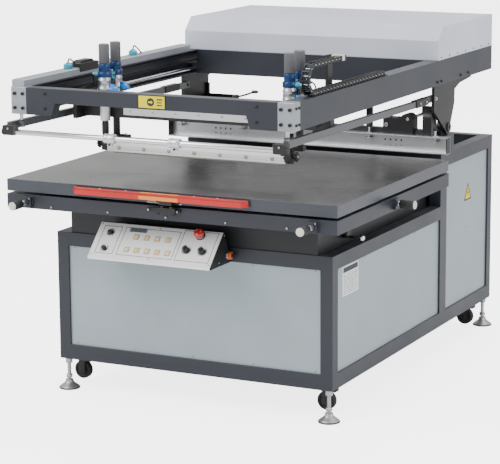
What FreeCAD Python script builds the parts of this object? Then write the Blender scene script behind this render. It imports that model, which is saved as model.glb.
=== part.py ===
"""Flat-bed screen printing machine with a vacuum table and an oblique-lift print head.

Millimetres. +X is to the operator's right, +Y runs away from the operator, +Z is up, and
z = 0 is the floor. Formulas give Y from the front face of the base cabinet; the cell
front_y moves that face to its place about the middle of the machine.
"""
import FreeCAD, Part
import math
import os
import re

import Sketcher
from FreeCAD import Rotation, Vector

SIZES = {
    # base cabinet
    "front_y": -678.25, "half_base": 596, "base_depth": 1728, "base_low": 127, "deck_top": 644,
    "tower_top": 863, "tower_y": 1103, "tube": 50, "wall": 3, "sill": 60, "deck_rail": 55,
    "tower_rail": 56, "divider": 72, "sheet_gap": 8, "skin": 2,
    # pedestal and table
    "half_pedestal": 533, "pedestal_y": 5, "pedestal_rear": 1098, "pedestal_top": 768.5,
    "half_table": 700, "table_y": -191.5, "table_rear": 916, "plate_top": 821, "slab_low": 831.6,
    "table_top": 878, "plate_skin": 4, "slab_skin": 8, "slide_gap": 0.1,
    # print head
    "half_head": 589, "head_y": -315, "head_rear": 1723, "head_low": 1154, "head_top": 1257,
    "rail_width": 60, "rail_wall": 5, "block_width": 66, "block_depth": 50, "beam_depth": 50,
    "hood_y": 1077, "hood_crease": 1339, "hood_top": 1394, "hood_bevel": 57,
    "pivot_y": 1200, "pivot_z": 967, "arm_thick": 12, "stub_radius": 20,
    # carriage and squeegee
    "guide_x": 552, "guide_z": 1176, "guide_radius": 12, "cylinder_x": 397, "squeegee_y": 54,
    "flood_y": 141, "carriage_low": 1100, "carriage_top": 1160, "bracket_top": 1190,
    "cylinder_radius": 20, "cylinder_top": 1313, "knob_top": 1390, "half_squeegee": 383,
    "holder_low": 973, "holder_top": 1009,
    # belt drive
    "shaft_y": 1200, "shaft_z": 1225, "pulley_radius": 15, "belt_thick": 2, "idler_y": -235,
    # screen carrier
    "bar_x": 565, "bar_width": 20, "tube_y": -371, "tube_z": 1095, "tube_radius": 10,
    "half_tube": 536, "peel_y": 1050, "peel_z": 1104,
    "half_channel": 650, "channel_y": 1025, "channel_low": 878, "channel_top": 948,
    "channel_wall": 4, "channel_depth": 41, "half_clamp_beam": 571, "clamp_beam_depth": 40,
    "clamp_beam_low": 917, "clamp_beam_top": 967, "clamp_rod_x": 465, "clamp_rod_z": 1012,
    "clamp_rod_radius": 7,
    # lift drive
    "ram_x": 45, "ram_y": 1640, "ram_pin_z": 1115, "ram_radius": 16, "pin_radius": 10,
    # feet and casters
    "foot_radius": 42.5, "stem_radius": 8, "caster_x": 540, "caster_front_y": 120,
    "caster_rear_y": 1620, "caster_trail": 20, "wheel_radius": 37, "wheel_z": 55.5,
    "wheel_half": 13, "pad_thick": 6,
    # console
    "console_left": -352, "console_right": 174, "console_y": -178, "console_low": 589,
    "face_thick": 3,
    # clearances of parts that turn or slide
    "run": 0.05,
}

doc = FreeCAD.newDocument("FlatbedScreenPrinter")
sheet = doc.addObject("Spreadsheet::Sheet", "Sizes")
for row, (name, size) in enumerate(SIZES.items(), 1):
    sheet.set(f"A{row}", name)
    sheet.set(f"B{row}", str(size))
    sheet.setAlias(f"B{row}", name)
doc.recompute()

CELL_NAMES = re.compile(r"\b(" + "|".join(sorted(SIZES, key=len, reverse=True)) + r")\b")
ALONG = {
    "x": Rotation(Vector(0, 1, 0), 90),
    "-x": Rotation(Vector(0, 1, 0), -90),
    "y": Rotation(Vector(1, 0, 0), -90),
    "-y": Rotation(Vector(1, 0, 0), 90),
    "z": Rotation(),
    "-z": Rotation(Vector(1, 0, 0), 180),
    "slope": Rotation(Vector(1, 0, 0), 45),
}
nodes = []


# ---------------------------------------------------------------- helpers

def bind(item, prop, formula):
    """Tie a property to a formula of cell names."""
    item.setExpression(prop, CELL_NAMES.sub(r"Sizes.\1", str(formula)))


def place(item, x, y, z, along="z"):
    """Put an object's origin at x, y from the cabinet's front face, z, turned along an axis."""
    item.Placement.Rotation = ALONG[along]
    bind(item, "Placement.Base.x", x)
    bind(item, "Placement.Base.y", f"front_y + {y}")
    bind(item, "Placement.Base.z", z)
    return item


def side_span(side, low, high):
    """The X span low to high on the right side (1) or its mirror on the left side (-1)."""
    if side > 0:
        return (f"{low}", f"{high}")
    return (f"-({high})", f"-({low})")


def box(x, y, z):
    """A block between two X, two Y and two Z formulas."""
    item = doc.addObject("Part::Box", "Block")
    for prop, (low, high) in zip(("Length", "Width", "Height"), (x, y, z)):
        bind(item, prop, f"({high}) - ({low})")
    return place(item, x[0], y[0], z[0])


def rod(along, x, y, z, radius, length):
    """A round bar that starts at a point and runs along an axis."""
    item = doc.addObject("Part::Cylinder", "Round")
    bind(item, "Radius", radius)
    bind(item, "Height", length)
    return place(item, x, y, z, along)


def fuse(parts):
    if len(parts) == 1:
        return parts[0]
    item = doc.addObject("Part::MultiFuse", "Joined")
    item.Shapes = parts
    return item


def cut(base, tools):
    item = doc.addObject("Part::Cut", "Cut")
    item.Base = base
    item.Tool = fuse(tools)
    return item


def group(parts):
    """Separate solids kept as one sub-part."""
    item = doc.addObject("Part::Compound", "Group")
    item.Links = parts
    return item


def finish(item, label):
    """Name a finished sub-part; the name is its file's name."""
    item.Label = label
    nodes.append(item)
    return item


def hollow(x, y, z, wall, wall_top=None):
    """A closed welded box: outer block less an inner one."""
    wall_top = wall_top or wall
    inner = box((f"{x[0]} + {wall}", f"{x[1]} - {wall}"), (f"{y[0]} + {wall}", f"{y[1]} - {wall}"),
                (f"{z[0]} + {wall}", f"{z[1]} - {wall_top}"))
    return cut(box(x, y, z), [inner])


def polygon_sketch(body, role, offset, corners):
    """A closed polygon, each corner held from the sketch origin by two bound distances."""
    plane = next(item for item in body.Origin.OriginFeatures if item.Role == role)
    sketch = body.newObject("Sketcher::SketchObject", "Outline")
    sketch.AttachmentSupport = [(plane, "")]
    sketch.MapMode = "FlatFace"
    bind(sketch, "AttachmentOffset.Base.z", offset)
    count = len(corners)
    turn = 2 * math.pi / count
    ring = [Vector(100 * math.cos(turn * i), 100 * math.sin(turn * i), 0) for i in range(count)]
    for i in range(count):
        sketch.addGeometry(Part.LineSegment(ring[i], ring[(i + 1) % count]), False)
    for i in range(count):
        sketch.addConstraint(Sketcher.Constraint("Coincident", i, 2, (i + 1) % count, 1))
    for i, (across, up) in enumerate(corners):
        held = sketch.addConstraint(Sketcher.Constraint("DistanceX", -1, 1, i, 1, ring[i].x))
        bind(sketch, f"Constraints[{held}]", across)
        held = sketch.addConstraint(Sketcher.Constraint("DistanceY", -1, 1, i, 1, ring[i].y))
        bind(sketch, f"Constraints[{held}]", up)
    return sketch


def plate_x(corners, start, thick):
    """A plate in the Y-Z plane: (y, z) corners, from X = start, thick along +X."""
    body = doc.addObject("PartDesign::Body", "Plate")
    sketch = polygon_sketch(body, "YZ_Plane", start, corners)
    pad = body.newObject("PartDesign::Pad", "Pad")
    pad.Profile = sketch
    bind(pad, "Length", thick)
    return place(body, 0, 0, 0)


def plate_y(corners, start, thick):
    """A plate in the X-Z plane: (x, z) corners, from Y = start, thick along +Y."""
    body = doc.addObject("PartDesign::Body", "Plate")
    sketch = polygon_sketch(body, "XZ_Plane", f"-({start})", corners)
    pad = body.newObject("PartDesign::Pad", "Pad")
    pad.Profile = sketch
    pad.Reversed = True
    bind(pad, "Length", thick)
    return place(body, 0, 0, 0)


def turned(corners, x, y, z, along="z"):
    """A turned piece: (radius, height) corners about its own axis."""
    body = doc.addObject("PartDesign::Body", "Turned")
    sketch = polygon_sketch(body, "XZ_Plane", 0, corners)
    spin = body.newObject("PartDesign::Revolution", "Revolution")
    spin.Profile = sketch
    spin.ReferenceAxis = (sketch, ["V_Axis"])
    spin.Angle = 360
    return place(body, x, y, z, along)


# ---------------------------------------------------------------- base cabinet

FOOT_X = "half_base - tube / 2"
FOOT_YS = ("tube / 2", "base_depth - tube / 2")


def base_frame():
    """Welded square tube: low front section, higher rear tower, posts for the head's pivots."""
    inner = "half_base - tube"
    full = (f"-({inner})", inner)
    rear = ("base_depth - tube", "base_depth")
    bars = []
    for side in (-1, 1):
        post = side_span(side, inner, "half_base")
        bars += [
            hollow(post, ("0", "tube"), ("base_low", "deck_top"), "wall"),
            hollow(post, ("tower_y", "tower_y + divider"), ("base_low", "tower_top"), "wall"),
            hollow(post, rear, ("base_low", "tower_top"), "wall"),
            hollow(post, ("tube", "tower_y"), ("base_low", "base_low + sill"), "wall"),
            hollow(post, ("tower_y + divider", "base_depth - tube"), ("base_low", "base_low + sill"),
                   "wall"),
            hollow(post, ("tube", "tower_y"), ("deck_top - deck_rail", "deck_top"), "wall"),
            hollow(post, ("tower_y + divider", "base_depth - tube"),
                   ("tower_top - tower_rail", "tower_top"), "wall"),
            hollow(side_span(side, "half_pedestal - 50", "half_pedestal - 1"), ("tube", "tower_y"),
                   ("deck_top - deck_rail", "deck_top"), "wall"),
            hollow(side_span(side, inner, "half_base"), ("tower_y + 42", "tower_y + 147"),
                   ("tower_top", "pivot_z - 32"), "wall"),
        ]
        for y in ("caster_front_y", "caster_rear_y"):
            bars.append(box(side_span(side, "caster_x - 38", "caster_x + 38"),
                            (f"{y} - 38", f"{y} + 38"), ("base_low - pad_thick", "base_low")))
    for y in (("0", "tube"), ("tower_y", "tower_y + tube"), rear):
        bars.append(hollow(full, y, ("base_low", "base_low + sill"), "wall"))
    bars.append(hollow(full, ("0", "tube"), ("deck_top - deck_rail", "deck_top"), "wall"))
    for y in (("tower_y", "tower_y + tube"), rear):
        bars.append(hollow(full, y, ("tower_top - tower_rail", "tower_top"), "wall"))
    bores = []
    for side in (-1, 1):
        for y in FOOT_YS:
            bores.append(rod("z", f"{side} * ({FOOT_X})", y, "base_low - 1", "stem_radius + run", 62))
    sleeves = []
    for side in (-1, 1):
        for y in FOOT_YS:
            sleeves.append(rod("z", f"{side} * ({FOOT_X})", y, "base_low", "stem_radius + 5", 60))
    return finish(cut(fuse(bars + sleeves), bores), "base_frame")


def pedestal():
    """Closed sheet box that carries the table above the low front section."""
    span = ("-half_pedestal", "half_pedestal")
    shell = hollow(span, ("pedestal_y", "pedestal_rear"), ("deck_top", "pedestal_top"), "wall")
    passage = rod("z", 0, 420, "deck_top - 1", 34, 130)
    return finish(cut(shell, [passage]), "pedestal")


def cabinet_panels():
    """Zinc sheet panels set into the frame's openings, the floor pan and the tower deck."""
    inner = "half_base - tube - 0.2"
    low = "base_low + sill"
    skin_y = ("sheet_gap", "sheet_gap + skin")
    sheets = [
        box((f"-({inner})", inner), skin_y, (low, "deck_top - deck_rail")),
        box((f"-({inner})", inner), ("base_depth - sheet_gap - skin", "base_depth - sheet_gap"),
            (low, "tower_top - tower_rail")),
    ]
    for side in (-1, 1):
        skin_x = side_span(side, "half_base - sheet_gap - skin", "half_base - sheet_gap")
        sheets.append(box(skin_x, ("tube", "tower_y"), (low, "deck_top - deck_rail")))
        sheets.append(box(skin_x, ("tower_y + divider", "base_depth - tube"),
                          (low, "tower_top - tower_rail")))
    pan = box((f"-({inner})", inner), ("tube", "base_depth - tube"), ("base_low + 40", "base_low + 42"))
    pan_gaps = [box((f"-({inner}) - 1", f"{inner} + 1"), ("tower_y - 0.2", "tower_y + tube + 0.2"),
                    ("base_low + 39", "base_low + 43"))]
    sheets.append(cut(pan, pan_gaps))
    deck = box((f"-({inner})", inner), ("tower_y + tube", "base_depth - tube"),
               ("tower_top - 58", "tower_top - 56"))
    hole = rod("z", "ram_x", "ram_y", "tower_top - 60", 24, 8)
    sheets.append(cut(deck, [hole]))
    return finish(group(sheets), "cabinet_panels")


def bearing_blocks():
    """Black pillow blocks on the tower posts, bored for the head's stub shafts."""
    blocks = []
    for side in (-1, 1):
        x = side_span(side, "half_base - tube + 1", "half_base - 23")
        foot = box(x, ("pivot_y - 40", "pivot_y + 40"), ("pivot_z - 32", "pivot_z - 14"))
        ring = rod("x", x[0], "pivot_y", "pivot_z", "stub_radius + 11.5", f"({x[1]}) - ({x[0]})")
        bore = rod("x", f"{x[0]} - 1", "pivot_y", "pivot_z", "stub_radius + run",
                   f"({x[1]}) - ({x[0]}) + 2")
        blocks.append(cut(fuse([foot, ring]), [bore]))
    return finish(group(blocks), "bearing_blocks")


KNOB_X = 605
SIDE_KNOB_Y = 350


def lower_plate():
    """Hollow fixed plate under the table, with bored bushings for the adjusting knobs."""
    shell = hollow(("-half_table", "half_table"), ("table_y", "table_rear + 6"),
                   ("pedestal_top", "plate_top"), "plate_skin")
    mid = "(pedestal_top + plate_top) / 2"
    bushings = []
    bores = []
    for side in (-1, 1):
        bushings.append(box((f"{side * KNOB_X} - 20", f"{side * KNOB_X} + 20"),
                            ("table_y - 14", "table_y + 30"), (f"{mid} - 20", f"{mid} + 20")))
        bores.append(rod("y", side * KNOB_X, "table_y - 15", mid, "6 + run", 40))
        x = side_span(side, "half_table - 30", "half_table + 12")
        bushings.append(box(x, (f"{SIDE_KNOB_Y} - 20", f"{SIDE_KNOB_Y} + 20"),
                            (f"{mid} - 20", f"{mid} + 20")))
        start = "half_table - 25" if side > 0 else "-half_table - 13"
        bores.append(rod("x", start, SIDE_KNOB_Y, mid, "6 + run", 38))
    return finish(cut(fuse([shell] + bushings), bores), "lower_plate")


def face_point(y, lift=0):
    """Y and Z formulas of a point on the console's sloping face, lifted off it by lift."""
    step = f"{lift} * 0.70711"
    return f"{y} - {step}", f"console_low + 189 + {y} + {step}"


def console_housing():
    """Wedge-shaped sheet housing under the table's front edge, on two brackets."""
    def wedge(inset):
        return [
            (f"console_y + 2 * {inset}", f"console_low + {inset}"),
            (f"console_y + 2 * {inset}", f"console_low + 6.75 + {inset}"),
            (f"-60 - 0.6 * {inset}", f"console_low + 124.75 - 1.6 * {inset}"),
            (f"-54 - 1.2 * {inset}", f"console_low + 124.75 - 3 * {inset}"),
            (f"-2 - 2.4 * {inset}", f"console_low + {inset}"),
        ]
    width = "console_right - console_left"
    outer = plate_x(wedge(0), "console_left", width)
    inner = plate_x(wedge(2), "console_left + 2", f"{width} - 4")
    holes = [
        round_on_face(x, y, -20, radius, 40) for x, y, radius in
        [(ESTOP[0], ESTOP[1], 13)] + [(x, y, 7) for x, y in SELECTORS + DIALS]
    ]
    brackets = [
        box((x, x + 40), (-30, 0), ("deck_top - 46", "deck_top - 10")) for x in (-300, 90)
    ]
    body = fuse([outer] + brackets)
    return finish(cut(body, [inner] + holes), "console_housing")


ESTOP = (88, -82)
SELECTORS = [(52, -131), (119, -131)]
DIALS = [(-294, -97), (-294, -149)]
KEY_ROWS = [(-104, (-178, -132, -86, -39)), (-146, (-198, -154, -110, -66, -22))]


def round_on_face(x, y, lift, radius, length):
    """A round bar square to the console's face, starting lift above it."""
    point_y, point_z = face_point(y, lift)
    return rod("slope", x, point_y, point_z, radius, length)


def console_face():
    """White face sheet with the raised pads of its membrane keys."""
    sheet_body = doc.addObject("Part::Box", "Face")
    bind(sheet_body, "Length", "console_right - console_left")
    bind(sheet_body, "Width", 160)
    bind(sheet_body, "Height", "face_thick")
    point_y, point_z = face_point("console_y", "-face_thick")
    place(sheet_body, "console_left", point_y, point_z, "slope")
    pads = []
    for y, xs in KEY_ROWS:
        for x in xs:
            pad = doc.addObject("Part::Box", "Pad")
            for prop, size in (("Length", 18), ("Width", 18), ("Height", 1)):
                bind(pad, prop, size)
            pad_y, pad_z = face_point(f"({y} - 9 * 0.70711)")
            pads.append(place(pad, x - 9, pad_y, pad_z, "slope"))
    holes = [round_on_face(ESTOP[0], ESTOP[1], -10, "11 + run", 30)]
    for x, y in SELECTORS + DIALS:
        holes.append(round_on_face(x, y, -10, "5 + run", 30))
    return finish(cut(fuse([sheet_body] + pads), holes), "console_face")


def vacuum_blower():
    """Side-channel blower: ribbed housing, motor, feet and a vertical outlet."""
    low = "base_low + 42"
    centre = f"{low} + 160"
    housing = turned([(0, 0), (150, 0), (150, 40), (135, 46), (135, 62), (150, 68), (150, 110), (0, 110)],
                     -60, 420, centre, "x")
    motor = turned([(0, 0), (78, 0), (78, 190), (70, 205), (0, 205)], 50, 420, centre, "x")
    feet = box((-90, 230), (330, 510), (low, f"{low} + 12"))
    saddle = box((-40, 200), (370, 470), (low, f"{low} + 100"))
    port = rod("z", 0, 420, f"{centre} + 100", 30, 80)
    return finish(fuse([housing, motor, feet, saddle, port]), "vacuum_blower")


def vacuum_hose():
    """Straight hose from the blower's outlet, through the pedestal, to the lower plate."""
    start = "base_low + 42 + 160 + 180"
    outer = rod("z", 0, 420, start, 30, f"pedestal_top - ({start})")
    inner = rod("z", 0, 420, f"{start} - 1", 25, f"pedestal_top - ({start}) + 2")
    return finish(cut(outer, [inner]), "vacuum_hose")


def lift_actuator():
    """Upright screw actuator with its gear motor, standing in the tower."""
    low = "base_low + 42"
    body = rod("z", "ram_x", "ram_y", low, 36, 530)
    base = box(("ram_x - 60", "ram_x + 60"), ("ram_y - 60", "ram_y + 30"), (low, f"{low} + 14"))
    gearbox = box(("ram_x - 160", "ram_x + 45"), ("ram_y - 52", "ram_y + 36"), (low, f"{low} + 120"))
    motor = rod("-x", "ram_x - 160", "ram_y", f"{low} + 62", 46, 190)
    bore = rod("z", "ram_x", "ram_y", f"{low} + 140", "ram_radius + run", 400)
    return finish(cut(fuse([body, base, gearbox, motor]), [bore]), "lift_actuator")


def electrical_box():
    """Control cabinet with its door, on the floor pan."""
    low = "base_low + 42"
    case = hollow((250, 520), (640, 940), (low, f"{low} + 390"), "wall")
    door = box((262, 508), (634, 640), (f"{low} + 12", f"{low} + 378"))
    lock = rod("-y", 280, 634, f"{low} + 195", 9, 8)
    return finish(fuse([case, door, lock]), "electrical_box")


# ---------------------------------------------------------------- feet and casters

def levelling_feet():
    """Four cast feet on threaded stems; their nuts clamp against the frame."""
    feet = []
    for side in (-1, 1):
        for y in FOOT_YS:
            profile = [
                (0, 0), ("foot_radius", 0), ("foot_radius", 7), (30, 16), (17, 26), (15, 36),
                ("stem_radius", 36), ("stem_radius", 104), (14, 104), (14, "base_low"),
                ("stem_radius", "base_low"), ("stem_radius", "base_low + 55"),
                (0, "base_low + 55"),
            ]
            feet.append(turned(profile, f"{side} * ({FOOT_X})", y, 0))
    return finish(group(feet), "levelling_feet")


def quarter_turn(part, x, y):
    """Turn a finished caster part a quarter about its swivel, so its wheel faces the front."""
    item = doc.addObject("Part::Compound", "Turned")
    item.Links = [part]
    item.Placement.Rotation = Rotation(Vector(0, 0, 1), -90)
    bind(item, "Placement.Base.x", f"{x} - front_y - {y}")
    bind(item, "Placement.Base.y", f"front_y + {y} + {x}")
    return item


def caster_fork(label, x, y):
    """Swivel head and pressed fork with the axle; the wheel trails behind the swivel."""
    top = "base_low - pad_thick"
    head = turned([(0, 97), (22, 97), (27, 102), (27, 113), (22, top), (0, top)], x, y, 0)
    wheel_y = f"{y} - caster_trail"
    crown = box((f"{x} - wheel_half - 5", f"{x} + wheel_half + 5"), (f"{wheel_y} - 16", f"{y} + 22"),
                (93.5, 98))
    cheeks = []
    for side in (-1, 1):
        span = side_span(side, "wheel_half + 1.5", "wheel_half + 5")
        cheeks.append(box((f"{x} + {span[0]}", f"{x} + {span[1]}"),
                          (f"{wheel_y} - 14", f"{wheel_y} + 14"), ("wheel_z - 12", 97)))
    axle = rod("x", f"{x} - wheel_half - 7", wheel_y, "wheel_z", 5, "2 * wheel_half + 14")
    fork = fuse([head, crown] + cheeks + [axle])
    return finish(quarter_turn(fork, x, y), label)


def caster_wheel(label, x, y):
    """Moulded wheel with a bored hub."""
    profile = [
        ("5 + run", "-wheel_half - 1"), (11, "-wheel_half - 1"), (12, "-wheel_half + 4"),
        (25, "-wheel_half + 4"), (27, "-wheel_half"), ("wheel_radius - 3", "-wheel_half"),
        ("wheel_radius", "-wheel_half + 4"), ("wheel_radius", "wheel_half - 4"),
        ("wheel_radius - 3", "wheel_half"), (27, "wheel_half"), (25, "wheel_half - 4"),
        (12, "wheel_half - 4"), (11, "wheel_half + 1"), ("5 + run", "wheel_half + 1"),
    ]
    wheel = turned(profile, x, f"{y} - caster_trail", "wheel_z", "x")
    return finish(quarter_turn(wheel, x, y), label)


# ---------------------------------------------------------------- table

def cross_slide():
    """Thin ring between the plates: it moves along Y and the table moves on it along X."""
    z = ("plate_top + slide_gap", "slab_low - slide_gap")
    ring = box((-600, 600), (-80, 810), z)
    window = box((-480, 480), (20, 710), ("plate_top", "slab_low"))
    return finish(cut(ring, [window]), "cross_slide")


def vacuum_table():
    """Ground steel table: perforated top over a closed plenum."""
    slab = hollow(("-half_table", "half_table"), ("table_y", "table_rear"), ("slab_low", "table_top"),
                  "slab_skin")
    bores = [rod("y", x, "table_y - 1", PLUNGER_Z, "5 + run", 10) for x in PLUNGER_XS]
    return finish(cut(slab, bores), "vacuum_table")


PLUNGER_XS = (-272, 228)
PLUNGER_Z = 860


def safety_bar():
    """Red bump bar along the table's front edge, on two plunger pins."""
    shift = -22
    bar = plate_x([("table_y - 37", 847), ("table_y - 37", 863), ("table_y - 27", 872),
                   ("table_y - 10", 872), ("table_y - 10", 847)], shift - 372, 744)
    trims = []
    for side in (-1, 1):
        end = shift + side * 372
        corners = [(end, "table_y - 38"), (end - side * 22, "table_y - 38"), (end, "table_y - 14")]
        trims.append(prism_z(corners, 846, 28))
    pins = [rod("y", x, "table_y - 11", PLUNGER_Z, 5, 16) for x in PLUNGER_XS]
    return finish(fuse([cut(bar, trims)] + pins), "safety_bar")


def prism_z(corners, start, tall):
    """An upright prism: (x, y) corners, from Z = start, tall along +Z."""
    body = doc.addObject("PartDesign::Body", "Prism")
    sketch = polygon_sketch(body, "XY_Plane", start, corners)
    pad = body.newObject("PartDesign::Pad", "Pad")
    pad.Profile = sketch
    bind(pad, "Length", tall)
    return place(body, 0, 0, 0)


def adjust_knob(label, x, y, along, reach):
    """Adjusting knob: spindle, collar and grip."""
    profile = [
        (0, -22), (6, -22), (6, 2), (11, 2), (11, reach - 64), (15, reach - 64), (17, reach - 60),
        (17, reach - 6), (15, reach), (0, reach),
    ]
    return finish(turned(profile, x, y, "(pedestal_top + plate_top) / 2", along), label)


def table_lock_lever():
    """Lever with a ball end beside the pedestal."""
    hub = rod("x", "half_pedestal + run", 240, 686, 18, 24)
    arm = rod("x", "half_pedestal + 12", 240, 674, 5, 60)
    ball = turned([(0, -12), (8, -9), (12, 0), (8, 9), (0, 12)], "half_pedestal + 77", 240, 674, "x")
    return finish(fuse([hub, arm, ball]), "table_lock_lever")


# ---------------------------------------------------------------- print head

def side_rails():
    """Two bent channel rails, open towards each other."""
    rails = []
    for side in (-1, 1):
        web = side_span(side, "half_head - rail_wall", "half_head")
        lip = side_span(side, "half_head - rail_width", "half_head")
        y = ("head_y + block_depth", "head_rear")
        rails.append(fuse([
            box(web, y, ("head_low", "head_top")),
            box(lip, y, ("head_low", "head_low + rail_wall")),
            box(lip, y, ("head_top - rail_wall", "head_top")),
        ]))
    return finish(group(rails), "side_rails")


def front_beam():
    """Front cross beam: shallow in the middle, full depth at its ends."""
    reach = "half_head - block_width"
    corners = [
        (f"-({reach})", "head_low"), ("-413", "head_low"), ("-398", "head_top - 55"),
        ("398", "head_top - 55"), ("413", "head_low"), (reach, "head_low"), (reach, "head_top"),
        (f"-({reach})", "head_top"),
    ]
    beam = plate_y(corners, "head_y", "beam_depth")
    pocket = box((-480, 480), ("head_y + 4", "head_y + beam_depth + 1"),
                 ("head_top - 50", "head_top - 5"))
    return finish(cut(beam, [pocket]), "front_beam")


def corner_blocks():
    """Cast corner blocks joining the rails to the front beam."""
    blocks = []
    for side in (-1, 1):
        x = side_span(side, "half_head - block_width", "half_head")
        block = box(x, ("head_y", "head_y + block_depth"), ("head_low", "head_top"))
        lug = box(side_span(side, "half_head - rail_width + 2", "half_head - rail_wall - 0.5"),
                  ("head_y + block_depth", "head_y + block_depth + 30"),
                  ("head_top - 13", "head_top - rail_wall - 0.5"))
        blocks.append(fuse([block, lug]))
    return finish(group(blocks), "corner_blocks")


def cross_beams():
    """Two cross beams under the hood, with rod ends, shaft plates and the lift clevis."""
    lip = "half_head - rail_width"
    y = ("hood_y", "hood_y + beam_depth")
    front = hollow((f"-({lip})", lip), y, ("head_low", "head_top"), "wall")
    ends = []
    for side in (-1, 1):
        ends.append(box(side_span(side, lip, "half_head - rail_wall"), ("hood_y", "hood_y + 26"),
                        ("guide_z - 16", "guide_z + 16")))
        ends.append(box(side_span(side, 500, 512), ("hood_y + beam_depth", "shaft_y + 30"),
                        ("head_low + 40", "shaft_z + 22")))
    bores = []
    for side in (-1, 1):
        start = side_span(side, 498, 514)[0]
        bores.append(rod("x", start, "shaft_y", "shaft_z", "10 + run", 16))
    ears = []
    for side in (-1, 1):
        x = side_span(side, 17, 25)
        span = (f"ram_x + {x[0]}", f"ram_x + {x[1]}")
        ears.append(box(span, ("ram_y - 16", "ram_y + 16"), ("ram_pin_z - 16", "head_low + 1")))
    pin = rod("x", "ram_x - 27", "ram_y", "ram_pin_z", "pin_radius", 54)
    rear = hollow((f"-({lip})", lip), ("ram_y - 25", "head_rear"), ("head_low", "head_top"), "wall")
    first = cut(fuse([front] + ends), bores)
    second = fuse([rear, pin] + ears)
    return finish(group([first, second]), "cross_beams")


def hood():
    """Folded sheet cover over the rear of the head."""
    def outline(inset):
        return [
            (f"hood_y + {inset}", f"head_top - {inset}"),
            (f"hood_y + {inset}", "hood_crease"),
            (f"hood_y + hood_bevel + 0.4 * {inset}", f"hood_top - {inset}"),
            (f"head_rear - {inset}", f"hood_top - {inset}"),
            (f"head_rear - {inset}", f"head_top - {inset}"),
        ]
    outer = plate_x(outline(0), "-half_head", "2 * half_head")
    inner = plate_x(outline(2), "-half_head + skin", "2 * half_head - 2 * skin")
    return finish(cut(outer, [inner]), "hood")


def swing_arms():
    """Plates under the rails that carry the head on its stub shafts."""
    arms = []
    for side in (-1, 1):
        x = side_span(side, "half_head - arm_thick", "half_head")
        corners = [
            (1036, "head_low"), (1036, 1053), (1176, "pivot_z - 16"), ("pivot_y + 27", "pivot_z + 12"),
            (1269, 1060), (1273, 1120), (1330, 1138), (1465, 1149), (1465, "head_low"),
        ]
        blade = plate_x(corners, x[0], "arm_thick")
        eye = rod("x", x[0], "pivot_y", "pivot_z", 29, "arm_thick")
        shaft = side_span(side, "half_head - arm_thick - 32", "half_head - arm_thick")
        stub = rod("x", shaft[0], "pivot_y", "pivot_z", "stub_radius", 32)
        nut = side_span(side, "half_head", "half_head + 6")
        cap = rod("x", nut[0], "pivot_y", "pivot_z", 19, 6)
        pin_x = side_span(side, "bar_x - 6", "half_head - arm_thick")
        pin = rod("x", pin_x[0], "peel_y", "peel_z", 8, f"({pin_x[1]}) - ({pin_x[0]})")
        leg = box(side_span(side, "half_head - arm_thick - 12", "half_head - arm_thick"),
                  (1250, 1262), (1000, 1090))
        foot = box(side_span(side, "clamp_rod_x - 15", "half_head - arm_thick"),
                   (1250, 1262), ("clamp_rod_z - 12", "clamp_rod_z + 30"))
        arms.append(fuse([blade, eye, stub, cap, pin, leg, foot]))
    return finish(group(arms), "swing_arms")


def guide_rods():
    """Ground rods: two carriage guides, two clamp-beam guides and two peel posts."""
    rods = []
    for side in (-1, 1):
        rods.append(rod("y", f"{side} * guide_x", "head_y + block_depth", "guide_z", "guide_radius",
                        "hood_y - head_y - block_depth"))
        rods.append(rod("y", f"{side} * clamp_rod_x", 1052, "clamp_rod_z", "clamp_rod_radius", 198))
        rods.append(rod("z", f"{side} * 555", "head_y + 16", 1110, 7, "head_low - 1110"))
    return finish(group(rods), "guide_rods")


def carriage_motor():
    """Right-angle gear motor round the drive shaft, bolted to the front cross beam."""
    gearbox = box((-55, 55), ("hood_y + beam_depth", "shaft_y + 50"), ("shaft_z - 24", "shaft_z + 110"))
    motor = turned([(0, 0), (58, 0), (58, 210), (50, 224), (0, 224)], 0, "shaft_y + 50",
                   "shaft_z + 45", "y")
    bore = rod("x", -57, "shaft_y", "shaft_z", "10 + run", 114)
    return finish(cut(fuse([gearbox, motor]), [bore]), "carriage_motor")


def belt_loop(x, inner, outer, width):
    """A flat belt round two pulleys: stadium ring in the Y-Z plane."""
    def stadium(radius, x_start, wide):
        straight = box((x_start, f"{x_start} + {wide}"), ("idler_y", "shaft_y"),
                       (f"shaft_z - ({radius})", f"shaft_z + ({radius})"))
        ends = [rod("x", x_start, y, "shaft_z", radius, wide) for y in ("idler_y", "shaft_y")]
        return fuse([straight] + ends)
    return cut(stadium(outer, x, width), [stadium(inner, f"{x} - 1", f"{width} + 2")])


def drive_belts():
    """Timing belts inside the rails, with their front idler rollers."""
    parts = []
    for side in (-1, 1):
        x = side_span(side, "guide_x - 7", "guide_x + 7")
        parts.append(belt_loop(x[0], "pulley_radius + run", "pulley_radius + belt_thick", 14))
        roller = rod("x", x[0], "idler_y", "shaft_z", "pulley_radius - 1", 14)
        pin = rod("x", side_span(side, "guide_x - 7", "half_head - rail_wall")[0], "idler_y", "shaft_z",
                  5, "half_head - rail_wall - guide_x + 7")
        parts.append(fuse([roller, pin]))
    return finish(group(parts), "drive_belts")


def drive_shaft():
    """Cross shaft with a toothed pulley at each end."""
    shaft = rod("x", "-guide_x - 12", "shaft_y", "shaft_z", 10, "2 * guide_x + 24")
    pulleys = []
    for side in (-1, 1):
        x = side_span(side, "guide_x - 9", "guide_x + 9")
        pulleys.append(rod("x", x[0], "shaft_y", "shaft_z", "pulley_radius", 18))
    return finish(fuse([shaft] + pulleys), "drive_shaft")


CHAIN_BEND_Y = -110
CHAIN_FIXED_Y = 530
CHAIN_FREE_Y = 150
CHAIN_RADIUS = 51


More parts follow.
